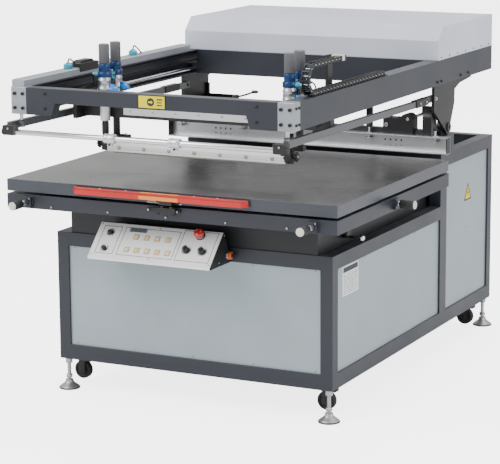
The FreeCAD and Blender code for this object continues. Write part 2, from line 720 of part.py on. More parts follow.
def drag_chain():
    """Cable chain on the right rail: lower run, front bend and upper run to the carriage."""
    centre = f"head_top + 10 + {CHAIN_RADIUS}"
    x = (545, 579)
    lower = box(x, (CHAIN_BEND_Y, CHAIN_FIXED_Y), ("head_top", "head_top + 20"))
    upper = box(x, (CHAIN_BEND_Y, CHAIN_FREE_Y),
                (f"{centre} + {CHAIN_RADIUS - 10}", f"{centre} + {CHAIN_RADIUS + 10}"))
    ring = cut(rod("x", x[0], CHAIN_BEND_Y, centre, CHAIN_RADIUS + 10, 34),
               [rod("x", x[0] - 1, CHAIN_BEND_Y, centre, CHAIN_RADIUS - 10, 36)])
    half = cut(ring, [box((x[0] - 2, x[1] + 2), (CHAIN_BEND_Y, CHAIN_BEND_Y + 70),
                          (f"{centre} - 70", f"{centre} + 70"))])
    return finish(fuse([lower, upper, half]), "drag_chain")


# ---------------------------------------------------------------- carriage

def carriage_beam():
    """Squeegee carriage: cross beam, cylinder brackets, end plates and bearing blocks."""
    reach = "half_head - rail_width - 24"
    parts = [hollow((f"-({reach})", reach), (82, 119), ("carriage_low", "carriage_top"), "wall")]
    bores = []
    for side in (-1, 1):
        plate_end = "half_head - rail_width - 6"
        parts.append(box(side_span(side, reach, plate_end), (20, 181),
                         ("carriage_low - 4", "guide_z + 22")))
        parts.append(box(side_span(side, plate_end, "guide_x + 20"), (20, 181),
                         ("guide_z - 15.5", "guide_z + 15.5")))
        parts.append(box(side_span(side, plate_end, "guide_x + 7"), (85, 125),
                         ("guide_z + 15", "shaft_z - pulley_radius - belt_thick - 0.5")))
        parts.append(box(side_span(side, "cylinder_x - 30", "cylinder_x + 30"),
                         ("squeegee_y - 28", "flood_y + 28"), ("carriage_top", "bracket_top")))
        bores.append(rod("y", f"{side} * guide_x", 19, "guide_z", "guide_radius + run", 164))
        for y in ("squeegee_y", "flood_y"):
            bores.append(rod("z", f"{side} * cylinder_x", y, "carriage_top - 1",
                             "cylinder_radius + run", 32))
    post = (511, 523)
    arm_z = ("head_top + 100", "head_top + 122")
    parts.append(box(post, (120, CHAIN_FREE_Y + 10), ("guide_z + 22", "head_top + 122")))
    parts.append(box((523, 579), (CHAIN_FREE_Y + 0.5, CHAIN_FREE_Y + 10), arm_z))
    parts.append(box((135, 165), (84, 117), ("carriage_top", "carriage_top + 38")))
    return finish(cut(fuse(parts), bores), "carriage_beam")


def air_cylinders():
    """Four pneumatic cylinders, two for the squeegee and two for the flood bar."""
    parts = []
    for y, low in (("squeegee_y", "carriage_low - 10"), ("flood_y", "carriage_top - 25")):
        profile = [
            (0, low), ("cylinder_radius", low), ("cylinder_radius", "bracket_top"),
            (29, "bracket_top"), (24, "cylinder_top - 55"), (24, "cylinder_top - 53"),
            (27, "cylinder_top - 53"), (27, "cylinder_top - 31"), (22, "cylinder_top - 31"),
            (22, "cylinder_top - 1"), (0, "cylinder_top - 1"),
        ]
        for side in (-1, 1):
            x = f"{side} * cylinder_x"
            body = turned(profile, x, y, 0)
            bore = rod("z", x, y, f"{low} - 1", "8 + run", f"bracket_top + 26 - ({low})")
            socket = rod("z", x, y, "cylinder_top - 32", "6 + run", 40)
            parts.append(cut(body, [bore, socket]))
    return finish(group(parts), "air_cylinders")


def stroke_knob(label, x, y):
    """Ribbed stroke-adjusting knob on top of a cylinder."""
    profile = [
        (0, "cylinder_top - 30"), (6, "cylinder_top - 30"), (6, "cylinder_top"), (21, "cylinder_top"),
        (21, "knob_top - 3"), (18, "knob_top"), (0, "knob_top"),
    ]
    body = turned(profile, x, y, 0)
    grooves = []
    for i in range(12):
        angle = math.radians(30 * i)
        groove_x = f"{x} + {21.5 * math.cos(angle):.3f}"
        groove_y = f"{y} + {21.5 * math.sin(angle):.3f}"
        grooves.append(rod("z", groove_x, groove_y, "cylinder_top + 4", 1.6, 80))
    return finish(cut(body, grooves), label)


def carriage_lever():
    """Clamping lever on the carriage beam."""
    hub = rod("z", 150, 100, "carriage_top + 38 + run", 12, 16)
    arm = plate_y([(144, 1206), (160, 1202), (226, 1225), (224, 1233)], 96, 8)
    grip = turned([(0, 0), (5, 0), (6, 5), (6, 20), (3, 26), (0, 26)], 218, 100, 1229, "x")
    return finish(fuse([hub, arm, grip]), "carriage_lever")


def squeegee_holder():
    """Aluminium squeegee holder on its two piston rods, with clamp knobs at the ends."""
    x = ("-half_squeegee", "half_squeegee")
    bar = plate_x([("squeegee_y - 14", "holder_low"), ("squeegee_y - 14", "holder_low + 24"),
                   ("squeegee_y - 9", "holder_top"), ("squeegee_y + 9", "holder_top"),
                   ("squeegee_y + 14", "holder_low + 24"), ("squeegee_y + 14", "holder_low")],
                  x[0], "2 * half_squeegee")
    slot = box(("-half_squeegee - 1", "half_squeegee + 1"), ("squeegee_y - 4.5", "squeegee_y + 4.5"),
               ("holder_low - 1", "holder_low + 18"))
    parts = [cut(bar, [slot])]
    for side in (-1, 1):
        rod_x = f"{side} * cylinder_x"
        parts.append(rod("z", rod_x, "squeegee_y", "holder_top - 30", 8, 232))
        parts.append(rod("z", rod_x, "squeegee_y", "holder_top - 6", 12, 84))
        parts.append(box(side_span(side, "half_squeegee - 20", "cylinder_x + 12"),
                         ("squeegee_y - 12", "squeegee_y + 12"), ("holder_top - 34", "holder_top + 6")))
        start = side_span(side, "cylinder_x + 12", "cylinder_x + 46")
        parts.append(rod("x", start[0], "squeegee_y", "holder_top - 8", 5, 34))
        disc = side_span(side, "cylinder_x + 28", "cylinder_x + 46")
        parts.append(rod("x", disc[0], "squeegee_y", "holder_top - 8", 16, 18))
    return finish(fuse(parts), "squeegee_holder")


def squeegee_blade():
    """Rubber blade clamped in the holder's slot."""
    blade = box(("-half_squeegee + 6", "half_squeegee - 6"), ("squeegee_y - 4.5", "squeegee_y + 4.5"),
                ("holder_low - 7", "holder_low + 18"))
    posts = []
    for side in (-1, 1):
        posts.append(box(side_span(side, "half_squeegee - 21", "cylinder_x + 13"),
                         ("squeegee_y - 13", "squeegee_y + 13"), ("holder_low - 6", "holder_low + 40")))
    return finish(cut(blade, posts), "squeegee_blade")


def flood_bar():
    """Steel flood bar on its two piston rods."""
    blade = box((-372, 372), ("flood_y - 2", "flood_y + 2"), ("holder_low - 18", "holder_top"))
    clamp = box((-372, 372), ("flood_y - 9", "flood_y + 9"), ("holder_low + 20", "holder_top + 6"))
    parts = [blade, clamp]
    for side in (-1, 1):
        rod_x = f"{side} * cylinder_x"
        parts.append(rod("z", rod_x, "flood_y", "holder_top - 10", 8, 212))
        parts.append(box(side_span(side, 340, "cylinder_x + 20"), ("flood_y - 14", "flood_y + 14"),
                         ("holder_top", "holder_top + 16")))
        parts.append(rod("z", rod_x, "flood_y", "holder_top + 14", 14, 108))
    return finish(fuse(parts), "flood_bar")


# ---------------------------------------------------------------- screen carrier

def frame_side_bars():
    """Side bars of the screen carrier, with front brackets, peel sockets and hinge ends."""
    bars = []
    for side in (-1, 1):
        x = side_span(side, "bar_x", "bar_x + bar_width")
        bar = plate_x([("tube_y + 17", 1101), ("tube_y + 17", 1129), (850, 1117), (850, 1091)],
                      x[0], "bar_width")
        tail_x = side_span(side, "bar_x - 3", "half_head - arm_thick - 0.3")
        tail = plate_x([(850, 1091), (850, 1117), (1066, 1118), (1066, 1090)],
                       tail_x[0], f"({tail_x[1]}) - ({tail_x[0]})")
        bracket = box(side_span(side, "half_tube", "bar_x + bar_width"),
                      ("tube_y - 12", "tube_y + 21"), (1085, 1118))
        socket = rod("z", f"{side} * 555", "head_y + 16", 1104, 13, 25)
        bores = [
            rod("z", f"{side} * 555", "head_y + 16", 1080, 9, 70),
            rod("x", f"{tail_x[0]} - 2", "peel_y", "peel_z", "8 + run", 30),
        ]
        bars.append(cut(fuse([bar, tail, bracket, socket]), bores))
    return finish(group(bars), "frame_side_bars")


def front_tube():
    """Front tube of the screen carrier with its clamp collars."""
    tube = rod("x", "-half_tube", "tube_y", "tube_z", "tube_radius", "2 * half_tube")
    collars = [rod("x", x, "tube_y", "tube_z", 18, 45) for x in (-152, 118)]
    lugs = [box((x + 12, x + 33), ("tube_y - 5", "tube_y + 5"), ("tube_z - 27", "tube_z"))
            for x in (-152, 118)]
    bore = rod("x", "-half_tube - 1", "tube_y", "tube_z", "tube_radius - 2.5", "2 * half_tube + 2")
    return finish(cut(fuse([tube] + collars + lugs), [bore]), "front_tube")


def clamp_channel():
    """Aluminium channel, open to the front, that grips the screen's rear edge."""
    x = ("-half_channel", "half_channel")
    rear = "channel_y + channel_depth"
    web = box(x, (f"{rear} - channel_wall", rear), ("channel_low", "channel_top"))
    lower = box(x, ("channel_y", rear), ("channel_low", "channel_low + channel_wall"))
    upper = box(x, ("channel_y", rear), ("channel_top - channel_wall", "channel_top"))
    holes = [rod("z", screw_x, "channel_y + 18", "channel_top - 8", "5 + run", 12)
             for screw_x in SCREW_XS]
    return finish(cut(fuse([web, lower, upper]), holes), "clamp_channel")


SCREW_XS = (-592, -297, 297, 592)


def clamp_beam():
    """Beam behind the channel, with saddle blocks that ride on the two short rods."""
    front = "channel_y + channel_depth"
    rear = f"{front} + clamp_beam_depth"
    parts = [hollow(("-half_clamp_beam", "half_clamp_beam"), (front, rear),
                    ("clamp_beam_low", "clamp_beam_top"), "wall")]
    bores = []
    for side in (-1, 1):
        parts.append(box(side_span(side, 355, 430), (f"{front} - 14", f"{rear} + 4"),
                         ("channel_top", 1014)))
        parts.append(box(side_span(side, 430, 488), (f"{front} - 14", f"{rear} + 4"),
                         ("channel_top", "clamp_rod_z")))
        parts.append(rod("y", f"{side} * 459", f"{front} - 14", "clamp_rod_z - 7", 29,
                         "clamp_beam_depth + 18"))
        parts.append(box(side_span(side, 531, "half_clamp_beam"), (f"{front} - 14", f"{rear} + 4"),
                         ("channel_top", 1020)))
        parts.append(rod("x", side_span(side, 531, "half_clamp_beam")[0], f"{front} + 15", 1020, 29, 40))
        bores.append(rod("y", f"{side} * clamp_rod_x", f"{front} - 20", "clamp_rod_z",
                         "clamp_rod_radius + run", 80))
    return finish(cut(fuse(parts), bores), "clamp_beam")


def clamp_screws():
    """Four clamp screws with pressure discs and knurled heads."""
    profile = [
        (0, "channel_top - 24"), (14, "channel_top - 24"), (14, "channel_top - 19"),
        (5, "channel_top - 17"), (5, "channel_top + 26"), (9, "channel_top + 26"),
        (9, "channel_top + 38"), (0, "channel_top + 38"),
    ]
    screws = [turned(profile, x, "channel_y + 18", 0) for x in SCREW_XS]
    return finish(group(screws), "clamp_screws")


def lift_ram():
    """Ram rod with a slotted yoke round the head's lift pin."""
    stem = rod("z", "ram_x", "ram_y", 520, "ram_radius", "ram_pin_z - 19 - 520")
    yoke = box(("ram_x - 15", "ram_x + 15"), ("ram_y - 22", "ram_y + 46"),
               ("ram_pin_z - 20", "ram_pin_z + 20"))
    slot = box(("ram_x - 16", "ram_x + 16"), ("ram_y - 11", "ram_y + 36"),
               ("ram_pin_z - 10.5", "ram_pin_z + 12.5"))
    return finish(cut(fuse([stem, yoke]), [slot]), "lift_ram")


# ---------------------------------------------------------------- console controls

def estop_button():
    """Mushroom-head emergency stop."""
    profile = [(0, -8), (11, -8), (11, 12), (13, 12), (20, 17), (20, 25), (14, 30), (0, 31)]
    point_y, point_z = face_point(ESTOP[1])
    return finish(turned(profile, ESTOP[0], point_y, point_z, "slope"), "estop_button")


def rotary_knob(label, place_x, place_y, radius, tall):
    """Round knob on its spindle."""
    profile = [(0, -8), (5, -8), (5, 1), (radius, 1), (radius, tall - 3), (radius - 3, tall), (0, tall)]
    point_y, point_z = face_point(place_y)
    return finish(turned(profile, place_x, point_y, point_z, "slope"), label)


def build():
    base_frame()
    pedestal()
    cabinet_panels()
    bearing_blocks()
    lower_plate()
    console_housing()
    console_face()
    vacuum_blower()
    vacuum_hose()
    lift_actuator()
    electrical_box()
    levelling_feet()
    for end, y in (("front", "caster_front_y"), ("rear", "caster_rear_y")):
        for hand, side in (("left", -1), ("right", 1)):
            caster_fork(f"caster_fork_{end}_{hand}", f"{side} * caster_x", y)
            caster_wheel(f"caster_wheel_{end}_{hand}", f"{side} * caster_x", y)
    cross_slide()
    vacuum_table()
    safety_bar()
    adjust_knob("table_knob_front_left", -KNOB_X, "table_y - 14", "-y", 103)
    adjust_knob("table_knob_front_right", KNOB_X, "table_y - 14", "-y", 103)
    adjust_knob("table_knob_side_right", "half_table + 12", SIDE_KNOB_Y, "x", 73)
    adjust_knob("table_knob_side_left", "-half_table - 12", SIDE_KNOB_Y, "-x", 73)
    table_lock_lever()
    side_rails()
    front_beam()
    corner_blocks()
    cross_beams()
    hood()
    swing_arms()
    guide_rods()
    carriage_motor()
    drive_belts()
    drive_shaft()
    drag_chain()
    carriage_beam()
    air_cylinders()
    for hand, side in (("left", -1), ("right", 1)):
        stroke_knob(f"squeegee_stroke_knob_{hand}", f"{side} * cylinder_x", "squeegee_y")
        stroke_knob(f"flood_stroke_knob_{hand}", f"{side} * cylinder_x", "flood_y")
    carriage_lever()
    squeegee_holder()
    squeegee_blade()
    flood_bar()
    frame_side_bars()
    front_tube()
    clamp_channel()
    clamp_beam()
    clamp_screws()
    lift_ram()
    estop_button()
    for name, (x, y) in zip(("mode_selector", "power_selector"), SELECTORS):
        rotary_knob(name, x, y, 11, 20)
    for name, (x, y) in zip(("print_speed_dial", "flood_speed_dial"), DIALS):
        rotary_knob(name, x, y, 9, 16)


def export():
    """Stop on any failed object or empty shape, then write one STEP file per sub-part."""
    doc.recompute()
    for item in doc.Objects:
        if "Invalid" in item.State or "Error" in item.State:
            raise RuntimeError(f"{item.Name} ({item.Label}) failed: {item.State}")
    for item in nodes:
        if item.Shape.isNull() or not item.Shape.isValid():
            raise RuntimeError(f"{item.Label} has no valid shape")
    os.makedirs("parts", exist_ok=True)
    for item in nodes:
        item.Shape.exportStep(f"parts/{item.Label}.step")
        print(f"{item.Label:28s} solids {len(item.Shape.Solids)}  volume {item.Shape.Volume / 1e6:9.3f} l")
    whole = Part.makeCompound([item.Shape for item in nodes]).BoundBox
    print(f"{len(nodes)} sub-parts, X {whole.XMin:.1f} {whole.XMax:.1f}, Y {whole.YMin:.1f} "
          f"{whole.YMax:.1f}, Z {whole.ZMin:.1f} {whole.ZMax:.1f}")


build()
export()
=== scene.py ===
"""Looks of the flat-bed screen printer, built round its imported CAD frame.

Distances in the builders below are millimetres, with Y counted from the front face of the
base cabinet, as on a drawing; Piece turns them into the row frame's metres.
"""

import itertools
import math
import random

import bmesh
import bpy
from mathutils import Matrix, Vector


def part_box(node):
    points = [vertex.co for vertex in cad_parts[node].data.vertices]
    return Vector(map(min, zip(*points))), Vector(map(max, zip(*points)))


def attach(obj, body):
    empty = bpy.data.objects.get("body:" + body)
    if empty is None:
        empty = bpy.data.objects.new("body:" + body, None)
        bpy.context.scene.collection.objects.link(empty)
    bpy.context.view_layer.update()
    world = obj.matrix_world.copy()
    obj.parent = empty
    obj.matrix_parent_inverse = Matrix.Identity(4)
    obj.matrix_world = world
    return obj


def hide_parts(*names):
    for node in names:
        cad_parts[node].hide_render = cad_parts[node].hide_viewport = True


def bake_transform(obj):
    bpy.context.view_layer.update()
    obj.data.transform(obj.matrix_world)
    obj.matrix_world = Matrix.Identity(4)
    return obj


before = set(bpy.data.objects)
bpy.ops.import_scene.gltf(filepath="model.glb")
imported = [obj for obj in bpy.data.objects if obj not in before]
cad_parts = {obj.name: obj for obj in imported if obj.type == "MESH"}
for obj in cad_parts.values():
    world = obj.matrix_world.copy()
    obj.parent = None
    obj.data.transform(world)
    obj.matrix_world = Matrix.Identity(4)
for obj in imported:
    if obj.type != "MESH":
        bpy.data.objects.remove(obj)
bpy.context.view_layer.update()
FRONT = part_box("base_frame")[0][1]
rng = random.Random(7)

TABLE_Y = -191.5  # front edge of the table
PANEL_X, REAR_Y = 588, 1719  # outer faces of the side panels and of the rear panel
RAIL_X, HEAD_Y = 589, -315  # outer faces of the head's side rails and of its front beam
SQUEEGEE_Y, FLOOD_Y, CYLINDER_X = 54, 141, 397  # axes of the four air cylinders
SLOPE = math.sqrt(0.5)  # run and rise of the console's face
SIDES = ((-1, "-x"), (1, "x"))  # the two sides of the machine, each with the way out
AXES = {way: Matrix.Rotation(math.radians(angle), 4, axis) for way, angle, axis in (
    ("x", 90, "Y"), ("-x", -90, "Y"), ("y", -90, "X"), ("-y", 90, "X"), ("z", 0, "X"),
    ("-z", 180, "X"), ("slope", 45, "X"))}


# ---- materials

class Graph:
    """Short hand for wiring the nodes of a material or a world."""

    def __init__(self, owner, shader="Principled BSDF"):
        owner.use_nodes = True
        self.owner = owner
        self.tree = owner.node_tree
        self.shader = self.tree.nodes[shader]

    def node(self, kind, inputs=None, **settings):
        made = self.tree.nodes.new("ShaderNode" + kind)
        for key, value in settings.items():
            setattr(made, key, value)
        for key, value in (inputs or {}).items():
            self.put(made.inputs[key], value)
        return made

    def put(self, socket, value):
        if isinstance(value, bpy.types.NodeSocket):
            self.tree.links.new(value, socket)
        else:
            socket.default_value = value

    def place(self):
        return self.node("TexCoord").outputs["Object"]

    def facing(self):
        return self.node("NewGeometry").outputs["Normal"]

    def split(self, vector):
        return self.node("SeparateXYZ", {0: vector}).outputs

    def noise(self, scale, detail=4.0, stretch=(1, 1, 1)):
        coords = self.node("Mapping", {"Vector": self.place(), "Scale": stretch}).outputs[0]
        return self.node("TexNoise", {"Vector": coords, "Scale": scale, "Detail": detail,
                                      "Roughness": 0.55}).outputs["Fac"]

    def ramp(self, fac, low, high, start=0.0, end=1.0):
        return self.node("MapRange", {"Value": fac, "From Min": low, "From Max": high,
                                      "To Min": start, "To Max": end}).outputs[0]

    def mix(self, fac, first, second):
        return self.node("Mix", {0: fac, 6: first, 7: second}, data_type="RGBA").outputs[2]

    def maths(self, operation, first, second=0.0):
        return self.node("Math", {0: first, 1: second}, operation=operation).outputs[0]

    def vector(self, operation, first, second):
        return self.node("VectorMath", {0: first, 1: second}, operation=operation).outputs

    def edges(self, radius):
        """(rounded normal, how near an edge each point is)."""
        bevel = self.node("Bevel", {"Radius": radius}, samples=6).outputs[0]
        dot = self.vector("DOT_PRODUCT", bevel, self.facing())["Value"]
        return bevel, self.ramp(dot, 0.995, 0.80)

    def shown(self):
        """What feeds the base colour so far."""
        return self.shader.inputs["Base Color"].links[0].from_socket

    def set(self, **values):
        for name, value in values.items():
            self.put(self.shader.inputs[name.replace("_", " ")], value)


def rgb(r, g, b):
    return (r, g, b, 1.0)


def shade(colour, factor):
    return rgb(*(min(1.0, channel * factor) for channel in colour))


def surface(name, colour, metal=0.0, rough=0.45, grain=900.0, bump=0.05, stretch=(1, 1, 1),
            mottle=0.14, wear=None, round_edge=0.0012, dust=0.0, coat=0.0):
    """A paint, metal or plastic: mottled colour, fine grain, worn edges and settled dust."""
    g = Graph(bpy.data.materials.new(name))
    patch = g.noise(3.2, 5.0)
    fine = g.noise(grain, 3.0, stretch)
    tone = g.ramp(patch, 0.3, 0.7)
    base = g.mix(tone, shade(colour, 1 - mottle), shade(colour, 1 + mottle))
    normal, edge = g.edges(round_edge)
    if wear:
        broken = g.maths("MULTIPLY", edge, g.ramp(g.noise(60.0), 0.42, 0.62))
        base = g.mix(broken, base, rgb(*wear))
    if dust:
        up = g.split(g.facing())[2]
        settled = g.maths("MULTIPLY", g.ramp(up, 0.6, 1.0, 0.0, dust),
                          g.ramp(g.noise(9.0), 0.3, 0.7))
        base = g.mix(settled, base, rgb(0.62, 0.60, 0.56))
    spread = g.maths("ADD", g.ramp(fine, 0.3, 0.7, rough - 0.05, rough + 0.05),
                     g.ramp(patch, 0.3, 0.7, -0.05, 0.06))
    relief = g.node("Bump", {"Strength": bump, "Distance": 0.0006, "Height": fine,
                             "Normal": normal})
    g.set(Base_Color=base, Metallic=metal, Roughness=spread, Coat_Weight=coat,
          Normal=relief.outputs[0])
    return g


def table_steel():
    """Ground dark steel: crossing grind marks, ink-stained patches and rows of suction holes."""
    pitch, hole_radius = 0.025, 0.0012
    half_width, middle_y, half_depth, face_z = 0.60, -0.30, 0.46, 0.8775
    g = surface("table_steel", (0.130, 0.124, 0.120), 0.8, 0.27, 420, 0.06, (1, 14, 1), 0.22,
                (0.42, 0.42, 0.42), 0.0014)
    place = g.place()
    cell = place
    for operation in ("MODULO", "ADD", "MODULO"):
        cell = g.vector(operation, cell, (pitch, pitch, 10.0))[0]
    flat = g.vector("MULTIPLY", cell, (1.0, 1.0, 0.0))[0]
    gap = g.vector("DISTANCE", flat, (pitch / 2, pitch / 2, 0.0))["Value"]
    x, y, z = g.split(place)
    hole = g.maths("LESS_THAN", gap, hole_radius)
    across = g.maths("ABSOLUTE", x)
    along = g.maths("ABSOLUTE", g.maths("SUBTRACT", y, middle_y))
    for limit in (g.maths("LESS_THAN", across, half_width), g.maths("LESS_THAN", along, half_depth),
                  g.maths("GREATER_THAN", z, face_z)):
        hole = g.maths("MULTIPLY", hole, limit)
    stain = g.maths("MULTIPLY", g.ramp(g.noise(5.0, 7.0), 0.50, 0.72), 0.5)
    base = g.mix(stain, g.shown(), rgb(0.075, 0.066, 0.060))
    base = g.mix(hole, base, rgb(0.004, 0.004, 0.004))
    top = g.ramp(g.split(g.facing())[2], 0.55, 0.75)
    g.set(Base_Color=g.mix(top, rgb(0.046, 0.052, 0.066), base),
          Metallic=g.maths("MULTIPLY", top, 0.75))
    return g


def striped(name, colour, other, axis, pitch, share):
    """A print of plain bars, used where the machine carries lines of writing."""
    g = surface(name, colour, 0.0, 0.6, 700, 0.02, mottle=0.03)
    along = g.split(g.place())["XYZ".index(axis)]
    step = g.maths("FRACT", g.maths("MULTIPLY", along, 1 / pitch))
    bar = g.maths("MULTIPLY", g.maths("LESS_THAN", step, share), g.ramp(g.noise(160.0), 0.42, 0.5))
    g.set(Base_Color=g.mix(bar, g.shown(), rgb(*other)))
    return g


def make_materials():
    """Every finish by its short name."""
    bare = (0.50, 0.50, 0.50)
    made = {
        "frame": surface("frame_paint", (0.020, 0.0235, 0.033), 0.0, 0.42, 620, 0.10, mottle=0.12,
                         wear=(0.20, 0.21, 0.23), dust=0.05),
        "plate": surface("plate_paint", (0.010, 0.0125, 0.014), 0.0, 0.46, 620, 0.10,
                         wear=(0.15, 0.15, 0.17), dust=0.06),
        "black": surface("black_paint", (0.009, 0.009, 0.010), 0.0, 0.44, 700, 0.08,
                         wear=(0.12, 0.12, 0.12), dust=0.06),
        "zinc": surface("zinc_sheet", (0.335, 0.395, 0.425), 0.35, 0.46, 300, 0.05, (1, 1, 12),
                        0.08, (0.7, 0.7, 0.7)),
        "hood": surface("hood_paint", (0.58, 0.61, 0.70), 0.0, 0.38, 520, 0.10, mottle=0.05,
                        wear=(0.32, 0.32, 0.33), round_edge=0.004, dust=0.10, coat=0.2),
        "red": surface("red_paint", (0.56, 0.007, 0.004), 0.0, 0.35, 500, 0.06, mottle=0.10,
                       wear=(0.35, 0.30, 0.28), coat=0.3),
        "chrome": surface("polished_steel", (0.74, 0.75, 0.77), 1.0, 0.13, 700, 0.02, (20, 1, 1),
                          0.05),
        "steel": surface("machined_steel", (0.46, 0.47, 0.49), 1.0, 0.33, 800, 0.06, (1, 10, 1),
                         0.12, bare),
        "motor": surface("cast_motor", (0.13, 0.15, 0.18), 0.3, 0.5, 260, 0.25, wear=bare),
        "alu": surface("bare_aluminium", (0.66, 0.67, 0.69), 0.85, 0.34, 500, 0.05, (1, 12, 12),
                       0.07, (0.85, 0.85, 0.86)),
        "blue": surface("cylinder_blue", (0.008, 0.040, 0.135), 0.35, 0.30, 700, 0.04,
                        wear=(0.14, 0.25, 0.38)),
        "teal": surface("fitting_teal", (0.01, 0.30, 0.42), 0.0, 0.32, 600, 0.04, coat=0.3),
        "sky": surface("valve_blue", (0.006, 0.20, 0.60), 0.0, 0.30, 600, 0.04, coat=0.3),
        "silver": surface("silver_paint", (0.36, 0.38, 0.41), 0.55, 0.36, 500, 0.06, (1, 6, 1),
                          0.08, (0.6, 0.6, 0.6), dust=0.05),
        "bar": surface("bar_paint", (0.115, 0.12, 0.13), 0.55, 0.34, 500, 0.06, (1, 6, 1), 0.08,
                       bare, dust=0.05),
        "pad": surface("foot_zinc", (0.40, 0.42, 0.41), 0.8, 0.42, 300, 0.15, mottle=0.15,
                       dust=0.15),
        "white": surface("white_enamel", (0.88, 0.88, 0.87), 0.0, 0.36, 500, 0.07, mottle=0.04,
                         wear=(0.45, 0.44, 0.42), dust=0.08, coat=0.15),
        "knob": surface("grey_plastic", (0.115, 0.12, 0.13), 0.0, 0.48, 900, 0.12, dust=0.10),
        "plastic": surface("black_plastic", (0.011, 0.011, 0.012), 0.0, 0.50, 900, 0.12, dust=0.08),
        "redknob": surface("red_plastic", (0.62, 0.022, 0.018), 0.0, 0.24, 700, 0.03, coat=0.5),
        "blade": surface("blade_rubber", (0.42, 0.40, 0.34), 0.0, 0.45, 400, 0.08),
        "belt": surface("belt_rubber", (0.012, 0.012, 0.012), 0.0, 0.7, 900, 0.2),
        "wheel": surface("wheel_rubber", (0.012, 0.012, 0.013), 0.0, 0.6, 500, 0.25, dust=0.15),
        "hose": surface("hose_rubber", (0.022, 0.022, 0.023), 0.0, 0.55, 300, 0.4, (1, 1, 6)),
        "yellow": surface("label_yellow", (0.76, 0.63, 0.0), 0.0, 0.6, 500, 0.03, mottle=0.05),
        "orange": surface("label_orange", (0.85, 0.30, 0.03), 0.0, 0.4, 500, 0.03, mottle=0.06),
        "ivory": surface("ivory_plastic", (0.70, 0.69, 0.62), 0.0, 0.4, 700),
        "screen": surface("display_window", (0.20, 0.22, 0.25), 0.0, 0.12, 900, 0.01, coat=1.0),
        "gold": surface("key_gold", (0.74, 0.55, 0.16), 0.0, 0.42, 700),
        "glow": surface("segment_dark", (0.05, 0.06, 0.07), 0.0, 0.4, 700, 0.02),
        "socket": surface("socket_orange", (0.60, 0.10, 0.03), 0.0, 0.4, 500, 0.08),
        "table": table_steel(),
        "rating": striped("rating_plate", (0.72, 0.73, 0.73), (0.10, 0.12, 0.20), "Z", 0.0095,
                          0.34),
        "strip": striped("bar_label", (0.86, 0.40, 0.04), (0.45, 0.10, 0.02), "X", 0.013, 0.45),
    }
    return {key: graph.owner for key, graph in made.items()}


M = make_materials()

# finish: the CAD pieces, by the starts of their names
CAD_MATERIALS = {
    "frame": ("base_frame", "side_rails", "front_beam", "cross_beams", "lower_plate"),
    "silver": "corner_blocks",
    "bar": "frame_side_bars",
    "plate": ("pedestal", "console_housing"),
    "black": ("bearing_blocks", "levelling_feet", "carriage_beam", "clamp_beam", "swing_arms",
              "lift_ram", "caster_fork"),
    "zinc": "cabinet_panels",
    "hood": "hood",
    "chrome": ("guide_rods", "front_tube"),
    "steel": ("cross_slide", "drive_shaft", "clamp_screws", "flood_bar"),
    "wheel": "caster_wheel",
    "motor": ("vacuum_blower", "lift_actuator", "carriage_motor"),
    "alu": ("squeegee_holder", "clamp_channel"),
    "blue": "air_cylinders",
    "white": ("console_face", "electrical_box"),
    "red": "safety_bar",
    "redknob": "estop_button",
    "blade": "squeegee_blade",
    "belt": "drive_belts",
    "hose": "vacuum_hose",
    "table": "vacuum_table",
    "plastic": ("drag_chain", "table_lock_lever", "carriage_lever", "mode_selector",
                "power_selector", "print_speed_dial", "flood_speed_dial"),
    "knob": ("table_knob", "squeegee_stroke_knob", "flood_stroke_knob"),
}
ROUNDED = {"base_frame": 3, "vacuum_table": 1.5, "lower_plate": 2, "pedestal": 2, "hood": 5,
           "side_rails": 1.2, "front_beam": 2, "corner_blocks": 2, "swing_arms": 1,
           "console_housing": 0.5, "frame_side_bars": 1.5, "clamp_beam": 1.2,
           "bearing_blocks": 1.2, "carriage_beam": 1.2, "lift_ram": 0.8, "electrical_box": 2}


def soften(obj, width, segments, angle):
    """Round an object's edges, width in millimetres, without touching its own vertices."""
    bevel = obj.modifiers.new("Bevel", "BEVEL")
    bevel.width = width / 1000
    bevel.segments = segments
    bevel.limit_method = "ANGLE"
    bevel.angle_limit = math.radians(angle)


def finish_frame():
    """Paint the CAD pieces and round their edges."""
    for finish, starts in CAD_MATERIALS.items():
        for name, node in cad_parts.items():
            if name.startswith(starts):
                node.data.materials.clear()
                node.data.materials.append(M[finish])
    for name, width in ROUNDED.items():
        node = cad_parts[name]
        node.modifiers.new("Weld", "WELD").merge_threshold = 0.00001
        soften(node, width, 3, 40)


# ---- mesh building

def crossings(at):
    """The points of a row or grid: at holds one number, or several, for each axis."""
    return [Vector(spot) for spot in
            itertools.product(*([v] if isinstance(v, (int, float)) else v for v in at))]


def link(name, data):
    """A new object in the scene."""
    obj = bpy.data.objects.new(name, data)
    bpy.context.scene.collection.objects.link(obj)
    return obj


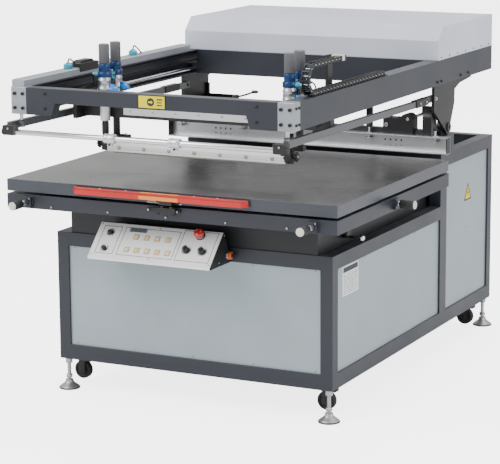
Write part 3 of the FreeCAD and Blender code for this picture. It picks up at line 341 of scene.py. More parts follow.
class Piece:
    """A mesh put together from turned, boxed and bent shapes, each in its own finish."""

    def __init__(self, name, body, finish, round_mm=0.6):
        self.name, self.body, self.round_mm = name, body, round_mm
        self.mesh = bmesh.new()
        self.finishes = []
        self.use(finish)

    def use(self, finish):
        if finish not in self.finishes:
            self.finishes.append(finish)
        self.index = self.finishes.index(finish)
        return self

    def _take(self, faces, smooth):
        for face in faces:
            face.material_index = self.index
            face.smooth = smooth

    def _skin(self, rings, smooth=True):
        """Close a row of equal rings of points with walls and two ends."""
        rings = [[self.mesh.verts.new(spot) for spot in ring] for ring in rings]
        walls = []
        for low, high in zip(rings, rings[1:]):
            for i in range(len(low)):
                j = (i + 1) % len(low)
                walls.append(self.mesh.faces.new((low[i], low[j], high[j], high[i])))
        self._take(walls, smooth)
        self._take([self.mesh.faces.new(rings[0][::-1]), self.mesh.faces.new(rings[-1])], False)
        return self

    def box(self, x, y, z, turn=None):
        """A block between two X, two Y and two Z values; turn is a matrix about its centre."""
        spans = [(min(span), max(span)) for span in (x, y, z)]
        centre = Vector([(low + high) / 2 for low, high in spans])
        size = Matrix.Diagonal([high - low for low, high in spans] + [1])
        move = Matrix.Translation(centre) @ (turn or Matrix.Identity(4)) @ size
        made = bmesh.ops.create_cube(self.mesh, size=1, matrix=move)
        self._take({f for v in made["verts"] for f in v.link_faces}, False)
        return self

    def block(self, centre, size, turn):
        """A turned block from its centre and its size before turning."""
        return self.box(*[(c - s / 2, c + s / 2) for c, s in zip(centre, size)], turn)

    def lathe(self, profile, at, along="z", sides=40, ribs=0, depth=0.0):
        """Turned shapes at each crossing: (radius, height) pairs, with optional grip ribs."""
        angles = [2 * math.pi * i / sides for i in range(sides)]
        rings = []
        for radius, height in profile:
            groove = depth if radius > depth * 3 else 0.0
            reach = [radius - groove * (0.5 - 0.5 * math.cos(ribs * angle)) for angle in angles]
            rings.append([Vector((r * math.cos(angle), r * math.sin(angle), height))
                          for r, angle in zip(reach, angles)])
        for base in crossings(at):
            turn = Matrix.Translation(base) @ AXES[along]
            self._skin([[turn @ spot for spot in ring] for ring in rings])
        return self

    def bar(self, at, along, radius, length, lip=0.0, sides=32):
        """Round bars with small chamfers."""
        lip = lip or min(radius, length) * 0.12
        return self.lathe([(radius - lip, 0), (radius, lip), (radius, length - lip),
                           (radius - lip, length)], at, along, sides)

    def slab(self, corners, plane, start, thick):
        """A flat shape from its corners in plane 'xy', 'xz' or 'yz', thick along the third axis."""
        def ring(c):
            return [{"xy": (a, b, c), "xz": (a, c, b), "yz": (c, a, b)}[plane] for a, b in corners]
        return self._skin([ring(start), ring(start + thick)], False)

    def tube(self, points, radius, sides=12):
        """A round tube swept smoothly through points."""
        path = smooth_path([Vector(p) for p in points], 8)
        rings = []
        upright = abs((path[1] - path[0]).normalized().z) >= 0.9
        side = Vector((1, 0, 0)) if upright else Vector((0, 0, 1))
        for i, spot in enumerate(path):
            ahead = (path[min(i + 1, len(path) - 1)] - path[max(i - 1, 0)]).normalized()
            side = (side - ahead * side.dot(ahead)).normalized()
            other = ahead.cross(side)
            angles = [2 * math.pi * k / sides for k in range(sides)]
            rings.append([spot + (side * math.cos(a) + other * math.sin(a)) * radius
                          for a in angles])
        return self._skin(rings)

    def screw(self, at, along, radius=5.0, style="socket"):
        """Screw heads standing on a face: socket, hex or pan."""
        if style == "hex":
            washer = 0.8
            self.lathe([(radius * 1.3, 0), (radius * 1.3, washer)], at, along, 24)
            head, sides = [(1, washer / radius), (1, 0.9), (0.86, 1.05)], 6
        elif style == "pan":
            head, sides = [(1, 0), (1, 0.25), (0.75, 0.55), (0.3, 0.66)], 20
        else:
            head, sides = [(1, 0), (1, 0.9), (0.88, 1), (0.55, 1), (0.5, 0.45)], 24
        return self.lathe([(radius * r, radius * z) for r, z in head], at, along, sides)

    def done(self, *stands_for):
        """Close the mesh, put it in the row frame and let it ride on its body."""
        bmesh.ops.recalc_face_normals(self.mesh, faces=self.mesh.faces)
        bmesh.ops.transform(self.mesh, verts=self.mesh.verts, space=Matrix.Identity(4),
                            matrix=Matrix.Translation((0, FRONT, 0)) @ Matrix.Scale(0.001, 4))
        data = bpy.data.meshes.new(self.name)
        self.mesh.to_mesh(data)
        self.mesh.free()
        for finish in self.finishes:
            data.materials.append(M[finish])
        obj = link(self.name, data)
        if self.round_mm:
            soften(obj, self.round_mm, 2, 50)
        if self.body:
            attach(obj, self.body)
        if stands_for:
            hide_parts(*stands_for)
        return obj


def smooth_path(points, steps):
    """Points along a Catmull-Rom curve through the given ones."""
    ends = [points[0] * 2 - points[1]] + points + [points[-1] * 2 - points[-2]]
    path = []
    for a, b, c, d in zip(ends, ends[1:], ends[2:], ends[3:]):
        for i in range(steps):
            t = i / steps
            path.append(0.5 * (2 * b + (c - a) * t + (2 * a - 5 * b + 4 * c - d) * t * t
                               + (3 * b - a - 3 * c + d) * t ** 3))
    return path + [points[-1]]


def on_slope(x, y, lift=0.0):
    """A point on the console's sloping face, lift off it."""
    return (x, y - lift * SLOPE, 778 + y + lift * SLOPE)


# ---- base cabinet

def base_details():
    trim = Piece("cabinet_fasteners", "base", "steel", 0.3)
    across = (-520, -260, 0, 260, 520)
    trim.screw((across, 8, (197, 579)), "-y", 4.5, "pan")
    trim.screw((across, REAR_Y + 1, (197, 579)), "y", 4.5, "pan")
    for side, out in SIDES:
        trim.screw((side * PANEL_X, (75, 330, 585, 840, 1090), (197, 579)), out, 4.5, "pan")
        trim.screw((side * PANEL_X, (1192, 1430, 1665), (197, 500, 797)), out, 4.5, "pan")
        trim.use("black").screw((side * 560, (1172, 1228), 953), "z", 5, "hex").use("steel")
        trim.lathe([(6, 0), (6, 3), (3, 5), (3, 11), (1.5, 13)], (side * 560, 1200, 998), "z", 16)
    trim.done()
    welds = Piece("frame_welds", "base", "frame", 0)
    for side in (-1, 1):
        for y, top in ((50, 589), (1103, 589), (1175, 807), (1678, 807)):
            for z in (187, top):
                xs = [side * (548 + 46 * i / 6) for i in range(7)]
                spots = [(x, y + rng.uniform(-0.6, 0.6), z) for x in xs]
                welds.tube(spots, 2.4, 8)
    welds.done()
    feet = Piece("feet_detail", "feet", "black", 0.4)
    at = ((-571, 571), (25, 1703), 0)
    thread = [(8 - 0.9 * (i % 2), 37 + 1.2 * i) for i in range(56)]
    feet.use("plastic").lathe([(42, 0.2), (42.4, 2), (42.4, 5), (41, 6.5)], at, "z", 48)
    feet.use("pad").lathe([(41, 6.5), (39, 9), (31, 15), (21, 22), (17, 27), (15, 36), (13, 37)],
                          at, "z", 48)
    feet.use("steel").lathe([(8, 36), *thread, (8, 104)], at, "z", 24)
    feet.lathe([(14, 104), (15.5, 106), (15.5, 124), (14, 126.5)], at, "z", 6)
    feet.lathe([(13, 44), (14, 46), (14, 55), (13, 57)], at, "z", 6)
    feet.lathe([(8, 126.8), (8, 180)], at, "z", 24)
    feet.done("levelling_feet")


def labels():
    plate = Piece("side_labels", "base", "white", 0.2)
    sheet, print_x = 0.6, PANEL_X + 0.3
    plate.box((PANEL_X, PANEL_X + sheet), (110, 258), (468, 582))
    plate.use("plate").box((print_x, print_x + sheet), (115, 253), (558, 578))
    plate.use("rating").box((print_x, print_x + sheet), (118, 250), (474, 553))
    plate.use("plastic").slab([(1404, 616), (1492, 616), (1448, 692)], "yz", PANEL_X, sheet)
    plate.use("yellow").slab([(1415, 622), (1481, 622), (1448, 680)], "yz", print_x, sheet)
    plate.use("plastic").slab([(1452, 668), (1438, 645), (1447, 646), (1441, 627), (1460, 651),
                               (1450, 650), (1456, 667)], "yz", PANEL_X + sheet, sheet)
    plate.done()
    rear = Piece("rear_service", "base", "plastic", 0.5)
    rear.use("zinc")
    for z in range(640, 753, 14):
        rear.slab([(-180, z), (180, z), (174, z + 7), (-174, z + 7)], "xz", REAR_Y, 5)
    rear.use("plastic").box((330, 410), (REAR_Y + 0.5, REAR_Y + 5.5), (230, 320))
    rear.use("redknob").box((352, 388), (REAR_Y + 4, REAR_Y + 8), (262, 304))
    gland = (460, REAR_Y, 250)
    rear.use("steel").lathe([(13, 0), (13, 4), (11, 5), (11, 7.5)], gland, "y", 6)
    rear.use("plastic").lathe([(9, 4), (9, 7), (6, 8.2)], gland, "y", 24)
    rear.done()


DIALS = ((-294, -97), (-294, -149))  # X and Y of the speed dials on the console's face
SELECTORS = ((52, -131), (119, -131))
ESTOP = (88, -82)


def console():
    """White sloping panel: outlined groups, keys, display, knob scales and screws."""
    face = Piece("console_print", "base", "plate", 0.15)
    for x0, x1, y0, y1 in ((-330, -252, -165, -75), (-236, 4, -165, -75), (16, 160, -165, -68)):
        for y in (y0 + 0.7, y1 - 0.7):
            patch(face, (x0 + x1) / 2, y, x1 - x0, 1.4, 0, 0.35)
        for x in (x0 + 1, x1 - 1):
            patch(face, x, (y0 + y1) / 2, 2, y1 - y0, 0, 0.35)
    for x, y in DIALS + SELECTORS:
        for k in range(11):
            angle = math.radians(-135 + 27 * k)
            u, v = 17 * math.sin(angle), 17 * math.cos(angle)
            patch(face, x + u, y + v * SLOPE, 2, 4 * SLOPE, 0, 0.35)
    patch(face.use("screen"), -179, -82, 74, 14, 0, 1.2)
    face.use("glow")
    for left in range(-209, -160, 16):
        for y in (-86, -82, -78):
            patch(face, left + 4.5, y, 9, 1, 1.2, 0.2)
        for x in (left + 0.8, left + 8.2):
            patch(face, x, -82, 1.6, 9, 1.2, 0.2)
    for y, xs in ((-104, (-178, -132, -86, -39)), (-146, (-198, -154, -110, -66, -22))):
        for k, x in enumerate(xs):
            for finish, width, depth, lift, thick in (
                    ("plate", 22.8, 16.2, 0.1, 0.7), ("gold", 21.2, 15, 0.6, 1.1),
                    ("white", 10.8, 7.8, 1.6, 0.2), ("plastic", 7, 1.4, 1.8, 0.15)):
                patch(face.use(finish), x, y, width, depth, lift, thick)
            if k % 2:
                patch(face, x, y, 1.8, 5.2, 1.8, 0.15)
    face.use("steel")
    for x in (-343, -90, 165):
        for y in (-170, -71):
            face.screw(on_slope(x, y), "slope", 3.4, "pan")
    face.done()
    side = Piece("console_connector", "base", "socket", 0.6)
    side.bar((174, -25, 619), "x", 15, 18)
    side.use("plastic").bar((192, -25, 619), "x", 9, 8)
    side.use("steel").lathe([(18, 0), (18, 3), (16.5, 4)], (174, -25, 619), "x", 6)
    side.screw((174, -100, 603), "x", 3.2, "pan").screw((174, -52, 700), "x", 3.2, "pan")
    side.done()
    stop = Piece("estop_head", "estop_button", "redknob", 0.2)
    at = on_slope(*ESTOP)
    stop.lathe([(9, 2), (10.8, 3), (10.8, 12), (13, 12.3), (19, 15.5), (20, 18), (20, 22),
                (18.6, 26), (15, 29), (8, 30.6), (1, 31)], at, "slope", 56)
    stop.use("white")
    for start in (0, 120, 240):
        angles = [math.radians(start + 12 * i) for i in range(5)]
        spots = [Vector((11.5 * math.cos(a), 11.5 * math.sin(a), 29.6)) for a in angles]
        stop.tube([Vector(at) + AXES["slope"] @ spot for spot in spots], 0.8, 6)
    stop.done("estop_button")
    ring = Piece("control_collars", "base", "plastic", 0.3)
    ring.lathe([(19, 0), (19, 1.5), (18, 2.5)], at, "slope", 56)
    ring.use("steel").lathe([(15.5, 2), (15.5, 5), (14.5, 6)], at, "slope", 40)
    for radius, spots in ((19, SELECTORS), (15, DIALS)):
        for spot in spots:
            ring.lathe([(radius, 0), (radius, 1.0), (radius - 2.5, 1.0), (radius - 3.5, 0.6)],
                       on_slope(*spot), "slope", 56)
    ring.use("white").box((-352, 174), (-178.6, -177.6), (589.5, 600))
    ring.done()
    names = ("mode_selector", "power_selector", "print_speed_dial", "flood_speed_dial")
    for name, spot in zip(names, SELECTORS + DIALS):
        console_knob(name, spot)


def console_knob(name, spot):
    """A ribbed knob with a white mark; a selector is larger and has a grip across its face."""
    selector = spot in SELECTORS
    radius, tall, mark_lift = (13, 20, 5.6) if selector else (9.5, 16, 0.1)
    knob = Piece(name + "_knob", name, "plastic", 0.3)
    turn = AXES["slope"]
    at = Vector(on_slope(*spot))
    knob.lathe([(radius, 1.2), (radius, 4), (radius - 1, 5), (radius - 1.5, tall - 1.5),
                (radius - 2.8, tall)], at, "slope", 48, 24, 0.5)
    if selector:
        knob.block(at + turn @ Vector((0, 0, tall + 2)), (5.2, 20, 7), turn)
    knob.use("white")
    knob.block(at + turn @ Vector((0, radius * 0.55, tall + mark_lift)), (1.4, 6, 0.6), turn)
    knob.done(name)


def patch(piece, x, y, width, depth, lift, thick):
    """A flat patch on the console's face round X and Y, depth measured along Y."""
    piece.block(on_slope(x, y, lift + thick / 2), (width, depth / SLOPE, thick), AXES["slope"])


# ---- table

def table_details():
    y = TABLE_Y
    bar = Piece("bump_bar", "safety_bar", "red", 1.2)
    y0, y1 = y - 37, y - 10
    bar.slab([(-394, y0 + 24), (-394, y1), (350, y1), (350, y0 + 24), (329, y0), (-373, y0)], "xy",
             847, 17)
    bar.slab([(-392, y0 + 25), (-392, y1 - 1), (348, y1 - 1), (348, y0 + 25), (328, y0 + 7),
              (-372, y0 + 7)], "xy", 864, 8)
    bar.use("strip").box((-96, 70), (y0 + 9, y1 - 4), (871.6, 872.3))
    bar.use("orange").box((-96, 70), (y0 - 0.5, y0 + 0.4), (849, 862))
    bar.use("steel").screw(((-272, -160, 130, 228), y0 + 17, 872), "z", 4.2, "pan")
    bar.bar(((-272, 228), y1 - 0.5, 860), "y", 5, 15)
    bar.done("safety_bar")
    switch = Piece("bump_switch", "table", "plastic", 0.6)
    switch.box((-14, 40), (y - 30, y - 8), (832, 846.2))
    switch.box((-66, -20), (y - 12, y + 0.2), (836, 846.5))
    switch.box((20, 58), (y - 11, y), (834, 846.5))
    switch.use("steel").box((-77, 68), (y - 3, y), (832, 838))
    switch.slab([(y - 13, 836), (y - 24, 843), (y - 24, 845), (y - 11, 838)], "yz", -58, 30)
    switch.screw(((-70, 12, 62), y - 3, 835), "-y", 2.6, "pan")
    switch.done()
    low = Piece("bump_bracket", "base", "black", 0.8)
    for x in (-40, 24):
        low.box((x, x + 12), (y - 5, y), (790, 818))
    low.box((-74, 64), (y - 9, y), (803, 815))
    low.box((-20, 52), (y - 26, y - 8), (800, 820))
    low.use("plastic").bar(((-4, 34), y - 20, 818), "z", 7, 9)
    low.use("steel").bar(((-66, 56), y - 10, 808), "-y", 4, 9)
    for shift in (-14, 14):
        low.screw(((-605 + shift, 605 + shift), y - 14, 795 + shift), "-y", 3)
    low.screw((range(-500, 501, 250), y, 780), "-y", 4)
    low.done()
    for place, spot, along, reach in (("front_left", (-605, y - 14), "-y", 103),
                                      ("front_right", (605, y - 14), "-y", 103),
                                      ("side_left", (-712, 350), "-x", 73),
                                      ("side_right", (712, 350), "x", 73)):
        name = "table_knob_" + place
        knob = Piece(name + "_grip", name, "steel", 0.3)
        at = Vector((*spot, 794.75))
        end = at + AXES[along] @ Vector((0, 0, reach))
        knob.lathe([(5.8, -20), (5.8, 1.5), (10.8, 2), (11, 3), (11, reach - 66), (9, reach - 64)],
                   at, along, 40)
        knob.use("plastic").lathe([(12, -64), (16, -62), (17, -59), (17, -8), (15.6, -6)], end,
                                  along, 96, 24, 1.2)
        knob.use("ivory").lathe([(14.6, -6), (15.8, -5), (15.8, -2), (14, -0.6), (5, 0)], end,
                                along, 48)
        knob.done(name)
    lever = Piece("lock_lever", "lock_lever", "black", 0.4)
    lever.lathe([(17, 0.1), (18, 1.5), (18, 22), (16, 24)], (533, 240, 686), "x", 40)
    lever.bar((545, 240, 674), "x", 5, 60)
    angles = [math.pi * i / 14 for i in range(1, 14)]
    ball = [(12.5 * math.sin(angle), -12.5 * math.cos(angle)) for angle in angles]
    lever.use("chrome").lathe(ball, (610, 240, 674), "x", 40)
    lever.done("table_lock_lever")


# ---- print head

def head_details():
    bolts = Piece("head_fasteners", "head", "black", 0.3)
    for side, out in SIDES:
        face = side * RAIL_X
        bolts.screw(((side * 537, side * 572), HEAD_Y, (1178, 1232)), "-y", 6.5)
        bolts.screw((face, (-302, -278), (1176, 1236)), out, 5)
        bolts.screw((face, (1070, 1115, 1340, 1430), 1170), out, 5.5, "hex")
        bolts.screw((face, range(1110, 1710, 95), 1268), out, 3.6, "pan")
        bolts.screw((side * 440, HEAD_Y, (1180, 1236)), "-y", 5)
    bolts.screw((range(-520, 521, 130), 1723, 1268), "y", 3.6, "pan")
    bolts.done()
    cap = Piece("pivot_caps", "head", "plastic", 0.4)
    for side, out in SIDES:
        cap.use("plastic").lathe([(19, 0), (19.5, 0.6), (19.5, 4), (17, 5.8), (6, 6)],
                                 (side * RAIL_X, 1200, 967), out, 48)
        cap.use("steel").screw((side * RAIL_X, 1050, 1104), out, 7, "hex")
    cap.done()
    label = Piece("beam_label", "head", "plastic", 0.2)
    label.box((-42, 74), (HEAD_Y - 1, HEAD_Y), (1204, 1256))
    label.use("yellow").box((-38, 70), (HEAD_Y - 1.6, HEAD_Y - 0.8), (1208, 1252.5))
    label.use("plastic").lathe([(15, 0), (15, 0.8)], (12, HEAD_Y - 1.4, 1230), "-y", 40)
    label.use("yellow").slab([(3, 1227), (14, 1227), (14, 1223), (22, 1230), (14, 1237), (14, 1233),
                              (3, 1233)], "xz", HEAD_Y - 2.8, 0.8)
    label.use("plastic")
    for end, low, high in ((62, 1238, 1243), (58, 1228, 1232), (60, 1218, 1222)):
        label.box((38, end), (HEAD_Y - 2.2, HEAD_Y - 1.4), (low, high))
    label.done()
    left = Piece("left_rail_cover", "head", "silver", 1.5)
    left.slab([(-586, 1257), (-533, 1257), (-533, 1281), (-538, 1285), (-581, 1285), (-586, 1281)],
              "xz", -311, 1333)
    left.use("black").box((-587, -530), (97, 234), (1268, 1300))
    left.slab([(110, 1300), (222, 1300), (206, 1310), (126, 1310)], "yz", -575, 34)
    left.use("steel").screw((-560, (-290, 20, 330, 640, 960), 1285), "z", 3.6, "pan")
    fittings = (-560, (53, 567), 1285)
    left.use("teal").lathe([(16, 0), (18, 1.5), (18, 15), (14, 18), (9, 22), (9, 23)], fittings,
                           "z", 36, 12, 0.8)
    left.use("steel").lathe([(6, 22), (6, 26), (4, 27)], fittings, "z", 24)
    left.use("plastic")
    for y in fittings[1]:
        left.tube([(-560, y, 1310), (-560, y + 12, 1322), (-560, y + 42, 1306),
                   (-560, y + 70, 1287)], 3, 10)
    left.done()
    right = Piece("right_rail_fittings", "head", "black", 0.8)
    right.box((540, 572), (34, 64), (1120, 1154)).bar((556, 49, 1121), "-z", 9, 14)
    right.box((542, 582), (530, 556), (1257, 1260))
    right.use("steel").bar((556, 49, 1107), "-z", 5, 12).screw((562, 548, 1260), "z", 4)
    right.done()
    rear = Piece("hood_seams", "head", "hood", 0.4)
    rear.box((-RAIL_X, RAIL_X), (1721.6, 1723), (1325, 1329))
    rear.box((-RAIL_X, RAIL_X), (1722, 1723.2), (1262, 1264))
    rear.use("plastic")
    for z in range(1282, 1319, 6):
        rear.box((-150, 150), (1722.4, 1723.4), (z, z + 2.4))
    rear.done()


LINK = 30.0  # pitch of the chain
CHAIN_X, CHAIN_Y, CHAIN_Z = 562, -110, 1318  # middle of the bend
BEND_RADIUS, FULL_TURN = 51, math.pi - 0.1
# name, (from Y, share of the carriage's travel there), (to Y, share there)
CHAIN_PARTS = (("lower_rear", (530, 0.0), (400, 0.05)), ("lower_middle", (400, 0.05), (150, 0.25)),
               ("lower_front", (150, 0.25), (CHAIN_Y, 0.5)), ("bend", None, None),
               ("upper_front", (CHAIN_Y, 0.5), (20, 0.8)), ("upper_rear", (20, 0.8), (125, 1.0)))


def chain_links():
    """(place, angle, part) of each link: lower run forwards, round the bend, upper run back."""
    spots = []
    run = CHAIN_PARTS[0][1][0]
    for part, (_, _, far) in enumerate(CHAIN_PARTS[:3]):
        while run > far[0]:
            spots.append((Vector((CHAIN_X, run, CHAIN_Z - BEND_RADIUS)), 0.0, part))
            run -= LINK
    turn = LINK / BEND_RADIUS
    angle = turn / 2
    while angle < FULL_TURN:
        around = Vector((0, -math.sin(angle), -math.cos(angle))) * BEND_RADIUS
        spots.append((Vector((CHAIN_X, CHAIN_Y, CHAIN_Z)) + around, angle, 3))
        angle += turn
    run = CHAIN_Y + LINK * 0.4
    for part, (_, _, far) in enumerate(CHAIN_PARTS[4:], 4):
        while run < far[0]:
            spots.append((Vector((CHAIN_X, run, CHAIN_Z + BEND_RADIUS)), math.pi, part))
            run += LINK
    return spots


def chain_link(chain, spot, angle):
    """Two staggered plates at each side, three cross bars and a pin."""
    turn = Matrix.Rotation(-angle, 4, "X")

    def part(x, y, z):
        spans = [sorted(span) for span in (x, y, z)]
        centre = Vector([(low + high) / 2 for low, high in spans])
        chain.block(spot + turn @ centre, [high - low for low, high in spans], turn)

    chain.use("plastic")
    for side in (-1, 1):
        part((side * 16.8, side * 13.4), (-15, 5), (-8.5, 8.5))
        part((side * 14.6, side * 11.4), (-3, 17), (-7, 7))
    part((-15, 15), (-9, -3), (8.0, 9.8))
    part((-15, 15), (-9, -3), (-9.8, -8.0))
    part((-12.6, 12.6), (2, 7), (6.6, 8.4))
    pin = spot + turn @ Vector((0, 9, 0))
    chain.use("steel").bar((spot.x - 17, pin.y, pin.z), "x", 2.4, 34, 0.4, 12)


def drag_chain():
    """The cable chain, in parts that take up a growing share of the carriage's travel."""
    links = chain_links()
    for number, (name, near, far) in enumerate(CHAIN_PARTS):
        mine = [i for i, (_, _, part) in enumerate(links) if part == number]
        chain = Piece("drag_chain_" + name, None, "plastic", 0.4)
        for i in mine:
            chain_link(chain, *links[i][:2])
        before, after = name != "upper_front", name == "bend"
        reach = links[max(mine[0] - before, 0):mine[-1] + 1 + after]
        for finish, offset in (("hose", -7), ("blue", 0), ("hose", 7)):
            spots = [place + Vector((offset, 0, 0)) for place, _, _ in reach]
            chain.use(finish).tube(spots, 2.6, 8)
        obj = chain.done("drag_chain")
        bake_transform(obj)


# ---- carriage

def cylinders():
    body = Piece("cylinder_bodies", "carriage", "blue", 0.4)
    for side, out in SIDES:
        for y, low in ((SQUEEGEE_Y, 1090), (FLOOD_Y, 1135)):
            at = (side * CYLINDER_X, y, 0)
            body.use("alu").lathe([(18, low), (20, low + 1.5), (20, 1190)], at, "z", 48)
            body.use("steel").lathe([(29, 1190), (29, 1196), (27, 1198), (26.5, 1212), (27.6, 1214),
                                     (27.6, 1218), (26, 1220), (25, 1244), (26, 1246), (26, 1250),
                                     (24, 1252), (24, 1260)], at, "z", 56)
            body.use("blue").lathe([(24, 1260), (27, 1261.5), (27, 1280), (25.5, 1282), (21, 1282),
                                    (22, 1284), (22, 1309), (20.5, 1312)], at, "z", 56, 28, 0.5)
            port = (side * (CYLINDER_X + 24), y, 1271)
            body.use("teal").lathe([(9, 0), (9, 14), (7, 16), (7, 22)], port, out, 28)
            body.use("steel").lathe([(5, 21), (5, 27), (4, 28)], port, out, 20)
            valve = side * CYLINDER_X + 22
            body.use("sky").lathe([(13, 0), (14, 2), (14, 22), (11, 25), (9, 34), (8, 36)],
                                  (valve, y, 1212), "x", 32)
            body.lathe([(9, -4), (9, 20), (7, 22)], (valve + 12, y, 1212), "z", 24)
    for x in (-CYLINDER_X, CYLINDER_X):
        body.use("steel").screw(((x - 22, x + 22), (98, 160, 34), 1190), "z", 3.6)
        body.use("black").box((x - 17, x + 17), (88, 108), (1190, 1250))
        body.use("teal").box((x - 15, x + 15), (86, 110), (1250, 1276))
        body.use("steel").bar(((x - 8, x + 8), 98, 1276), "z", 4, 9)
    body.done("air_cylinders")
    for word, y in (("squeegee", SQUEEGEE_Y), ("flood", FLOOD_Y)):
        for hand, x in (("left", -CYLINDER_X), ("right", CYLINDER_X)):
            name = f"{word}_stroke_knob_{hand}"
            knob = Piece(name + "_grip", name, "knob", 0.2)
            knob.lathe([(19, 1313.4), (21, 1315), (21, 1385), (20, 1388), (16, 1389.6), (9, 1390)],
                       (x, y, 0), "z", 96, 24, 1.3)
            knob.use("steel").lathe([(5.8, 1284), (5.8, 1313.4)], (x, y, 0), "z", 24)
            knob.use("white").box((x - 0.8, x + 0.8), (y + 4, y + 14), (1389.5, 1390))
            knob.done(name)


def carriage_details():
    kit = Piece("carriage_fittings", "carriage", "black", 0.5)
    for side, inward in ((-1, "x"), (1, "-x")):
        kit.use("black").screw((side * 505, (34, 166), (1112, 1182)), inward, 5)
        kit.use("teal").box((side * 470 - 14, side * 470 + 14), (119, 139), (1108, 1150))
    kit.use("ivory").box((534, 578), (128, 150.4), (1359, 1380))
    kit.box((538, 574), (116, 129), (1361, 1378))
    kit.use("alu").box((-330, 330), (79.5, 82), (1112, 1146))
    kit.use("steel").screw((range(-300, 301, 100), 79.5, 1129), "-y", 3.8)
    kit.use("plastic")
    for side in (-1, 1):
        x, end = side * CYLINDER_X, side * 502
        kit.tube([(x + side * 50, SQUEEGEE_Y, 1271), (x + side * 62, 70, 1262),
                  (x + side * 74, 100, 1228), (end, 128, 1216)], 3, 10)
        kit.tube([(x + side * 50, FLOOD_Y, 1271), (x + side * 62, 140, 1264),
                  (x + side * 76, 138, 1236), (end, 140, 1214)], 3, 10)
        kit.tube([(x + 34, SQUEEGEE_Y, 1233), (x + 36, 58, 1246), (x + 34, 80, 1256),
                  (x + 22, 98, 1262), (x + 14, 98, 1264)], 3, 10)
    kit.done()
    lever = Piece("carriage_lever_arm", "carriage_lever", "black", 0.5)
    lever.lathe([(11, 1198.2), (12, 1199), (12, 1212), (9, 1214)], (150, 100, 0), "z", 32)
    lever.tube([(150, 100, 1207), (166, 100, 1209), (200, 100, 1219), (226, 100, 1229)], 3.6, 12)
    lever.use("plastic").lathe([(4, 0), (6, 3), (6.5, 12), (5.6, 22), (3, 26)],
                               (218, 100, 1229), "x", 28)
    lever.done("carriage_lever")


def star(piece, at, along, radius, thick):
    """A hand knob with lobes round its rim and a turned boss behind."""
    piece.lathe([(8, 0), (9, 1), (9, 9)], at, along, 32)
    piece.lathe([(radius * 0.8, 9), (radius, 11), (radius, 6 + thick),
                 (radius * 0.8, 9 + thick)], at, along, 96, 8, 5.0)


def squeegee():
    holder = Piece("squeegee_holder_detail", "squeegee", "white", 0.6)
    y = SQUEEGEE_Y
    profile = [(-14, 973), (-14, 979), (-12, 981), (-14, 983), (-14, 997), (-9, 1009), (9, 1009),
               (14, 997), (14, 983), (12, 981), (14, 979), (14, 973), (4.6, 973), (4.6, 991),
               (-4.6, 991), (-4.6, 973)]
    holder.slab([(y + a, b) for a, b in profile], "yz", -383, 766)
    across = range(-330, 331, 110)
    holder.use("steel").screw((across, y - 14, 990), "-y", 4.4)
    holder.lathe([(8, 0), (8, 2), (6, 3)], (across, y - 13.6, 990), "-y", 24)
    for side, out in SIDES:
        rod, knob = (side * CYLINDER_X, y, 0), (side * 409, y, 1001)
        holder.use("black").box((side * 363, side * 409), (y - 12, y + 12), (975, 1015))
        holder.lathe([(12, 1003), (12, 1038), (14, 1041), (14, 1084), (12, 1087)], rod, "z", 36)
        holder.use("chrome").lathe([(8, 1087), (8, 1208)], rod, "z", 32)
        star(holder.use("plastic"), knob, out, 19, 12)
        holder.use("steel").lathe([(5, 0), (5, 22), (4, 23)], knob, out, 20)
    star(holder.use("plastic"), (400, y - 12, 998), "-y", 20, 10)
    holder.done("squeegee_holder")
    blade = Piece("squeegee_blade_strip", "squeegee", "blade", 0.5)
    blade.slab([(y - 4.4, 990.5), (y + 4.4, 990.5), (y + 4.4, 967), (y + 3, 966), (y - 3, 966),
                (y - 4.4, 967)], "yz", -362, 724)
    blade.done("squeegee_blade")
    flood = Piece("flood_bar_detail", "flood", "steel", 0.4)
    y = FLOOD_Y
    flood.slab([(y - 2, 1009), (y + 2, 1009), (y + 2, 966), (y + 7, 956), (y + 5, 955),
                (y - 2, 965)], "yz", -372, 744)
    flood.use("black").slab([(y - 9, 993), (y + 9, 993), (y + 9, 1011), (y + 5, 1015),
                             (y - 5, 1015), (y - 9, 1011)], "yz", -372, 744)
    flood.use("steel").screw((range(-330, 331, 165), y - 9, 1003), "-y", 4)
    flood.screw(((-356, 356), y, 1025), "z", 5, "hex")
    rods = ((-CYLINDER_X, CYLINDER_X), y, 0)
    for side in (-1, 1):
        flood.use("black").box((side * 340, side * 417), (y - 14, y + 14), (1009, 1025))
    flood.lathe([(13, 1025), (14, 1027), (14, 1128), (13, 1131)], rods, "z", 36)
    flood.use("chrome").lathe([(8, 1131), (8, 1208)], rods, "z", 32)
    flood.done("flood_bar")


# ---- screen carrier and clamp

def carrier_details():
    kit = Piece("carrier_fittings", "carrier", "black", 0.6)
    for side, out in SIDES:
        kit.use("plastic").lathe([(13, 0), (13.6, 1), (13.6, 5), (11, 7), (4, 7.4)],
                                 (side * 586, -371, 1096), out, 36)
        kit.use("black").box((side * 538, side * 587), (-384, -348), (1083, 1119))
        kit.lathe([(13.6, 1129.5), (12.6, 1131)], (side * 555, -299, 0), "z", 32)
        kit.box((side * 561.5, side * 589), (848, 975), (1090, 1119))
        kit.use("steel").screw((side * 562, -384, 1108), "-y", 4)
        kit.screw((side * 589, (880, 945), 1104), out, 5)
    kit.done()
    tube = Piece("front_tube_detail", "carrier", "chrome", 0.4)
    tube.lathe([(9.6, -536), (10, -535.4), (10, 535.4), (9.6, 536)], (0, -371, 1095), "x", 48)
    tube.use("alu").lathe([(16.5, 0), (18, 1.5), (18, 12), (16, 13), (16, 15), (18, 16), (18, 43.5),
                           (16.5, 45)], ((-152, 118), -371, 1095), "x", 48)
    for x in (-139, 131):
        tube.box((x, x + 19), (-375.5, -366.5), (1068, 1080))
    tube.use("black").screw(((-130, 140), -376, 1073), "-y", 4)
    tube.done("front_tube")


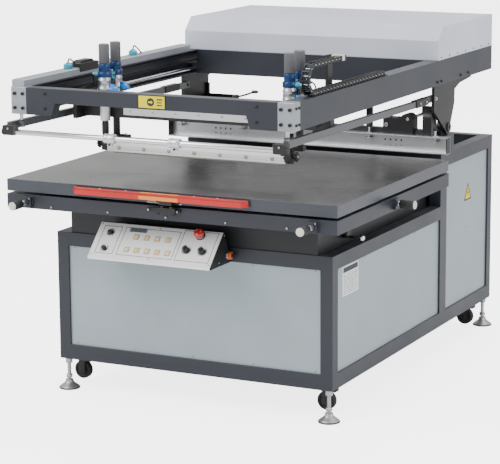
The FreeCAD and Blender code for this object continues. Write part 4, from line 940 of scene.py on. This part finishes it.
def clamp_details():
    kit = Piece("clamp_fittings", "rear_clamp", "steel", 0.4)
    screws_at = ((-592, -297, 297, 592), 1043, 0)
    kit.lathe([(14, 948), (14, 950.5), (12, 951.5), (7, 951.5)], screws_at, "z", 32)
    for middle in (-398, 398):
        holes = (middle - 36, middle - 12, middle + 12, middle + 36)
        kit.use("plastic").lathe([(4, 0), (4, 0.8)], (holes, 1061.6, 921), "-y", 20)
        kit.use("steel").screw((holes, 1062, 900), "-y", 4.4)
    kit.use("black").screw(((-415, -380, 380, 415), 1080, 1014), "z", 5)
    for side in (-1, 1):
        kit.box((side * 646, side * 650), (1026, 1065), (879, 947))
    kit.use("steel").bar(((-372, 372), 1052, 985), "-y", 9, 8)
    kit.done()
    screws = Piece("clamp_screw_handles", "clamp_screws", "steel", 0.4)
    screws.lathe([(13, 924), (14, 925), (14, 928), (12, 930), (5, 931), (4.6, 932), (4.6, 972)],
                 screws_at, "z", 32)
    screws.use("plastic").lathe([(7, 972), (9, 974), (9, 983), (7, 986)], screws_at, "z", 48, 12,
                                0.8)
    screws.done("clamp_screws")


# ---- hidden machinery

def machinery():
    """Fins, covers and plates on the units inside the cabinet and under the hood."""
    kit = Piece("machinery_detail", "base", "motor", 0.5)
    kit.lathe([(80, 0), (80, 3), (78, 3.4)], (range(70, 197, 14), 420, 329), "x", 40)
    kit.lathe([(47.5, 0), (47.5, 3)], (range(-135, -272, -17), 1640, 231), "-x", 40)
    for z in (545, 755):
        kit.use("steel").lathe([(34, z), (34, z + 8), (32, z + 9)], (0, 420, 0), "z", 32)
    for z in (220, 500):
        kit.use("plate").box((300, 470), (632.6, 634), (z, z + 16))
    kit.done()
    drive = Piece("carriage_motor_detail", "head", "motor", 0.5)
    drive.lathe([(59.5, 0), (59.5, 3)], (0, range(1262, 1431, 14), 1270), "y", 48)
    drive.use("plate").box((-26, 26), (1300, 1390), (1328, 1362))
    drive.use("steel").screw(((-46, 46), 1127, (1214, 1322)), "-y", 4)
    drive.done()
    collar = Piece("ram_collar", "lift_ram", "steel", 0.4)
    collar.lathe([(21, 1072), (21, 1090), (19, 1094)], (45, 1640, 0), "z", 32)
    collar.done()
    gaiter = Piece("ram_gaiter", "base", "hose", 0)
    folds = [(24 - 3 * (i % 2), 814 + 4 * i) for i in range(8)]
    gaiter.lathe([(27, 807), (27, 811), (24, 812), *folds, (20, 846)], (45, 1640, 0), "z", 40)
    gaiter.done()


# ---- stage

def stage():
    floor_mesh = bmesh.new()
    bmesh.ops.create_grid(floor_mesh, x_segments=2, y_segments=2, size=30)
    data = bpy.data.meshes.new("floor")
    floor_mesh.to_mesh(data)
    floor_mesh.free()
    floor = link("floor", data)
    paper = surface("studio_floor", (0.93, 0.93, 0.93), 0.0, 0.75, 60, 0.01, mottle=0.01,
                    round_edge=0.0001)
    seen = paper.node("LightPath").outputs["Is Camera Ray"]
    paper.set(Emission_Color=rgb(1.0, 1.0, 1.0),
              Emission_Strength=paper.maths("MULTIPLY", seen, 3.6))
    floor.data.materials.append(paper.owner)
    sky = Graph(bpy.data.worlds.new("studio"), "Background")
    seen = sky.node("LightPath").outputs["Is Camera Ray"]
    sky.set(Color=rgb(1.0, 1.0, 1.0), Strength=sky.ramp(seen, 0.0, 1.0, 0.95, 9.0))
    bpy.context.scene.world = sky.owner
    for name, power, size, spot, aim in (
            ("key", 330, 4.0, (-2.5, -4.5, 5.0), (0, -0.2, 0.8)),
            ("side", 120, 3.0, (5.5, -0.5, 3.0), (0, 0.2, 0.8)),
            ("top", 220, 5.0, (0.5, 2.0, 6.0), (0, 0.2, 0.9))):
        light = bpy.data.lights.new(name, "AREA")
        light.energy = power
        light.size = size
        lamp = link(name, light)
        lamp.location = spot
        lamp.rotation_euler = (Vector(aim) - Vector(spot)).to_track_quat("-Z", "Y").to_euler()


def camera():
    """The camera, from its heading, tilt, roll and distance."""
    heading, tilt, roll = (math.radians(angle) for angle in (26.41, 11.39, -0.395))
    turn = (Matrix.Rotation(heading, 4, "Z") @ Matrix.Rotation(math.pi / 2 - tilt, 4, "X")
            @ Matrix.Rotation(roll, 4, "Z"))
    target = Matrix.Translation((-0.1039, 0.7231 + FRONT, 0.5483))
    data = bpy.data.cameras.new("camera")
    data.lens = 148.35
    data.clip_end = 60
    obj = link("camera", data)
    obj.matrix_world = target @ turn @ Matrix.Translation((0, 0, 8.589))
    bpy.context.scene.camera = obj


camera()
stage()
finish_frame()
base_details()
labels()
console()
table_details()
head_details()
drag_chain()
cylinders()
carriage_details()
squeegee()
carrier_details()
clamp_details()
machinery()
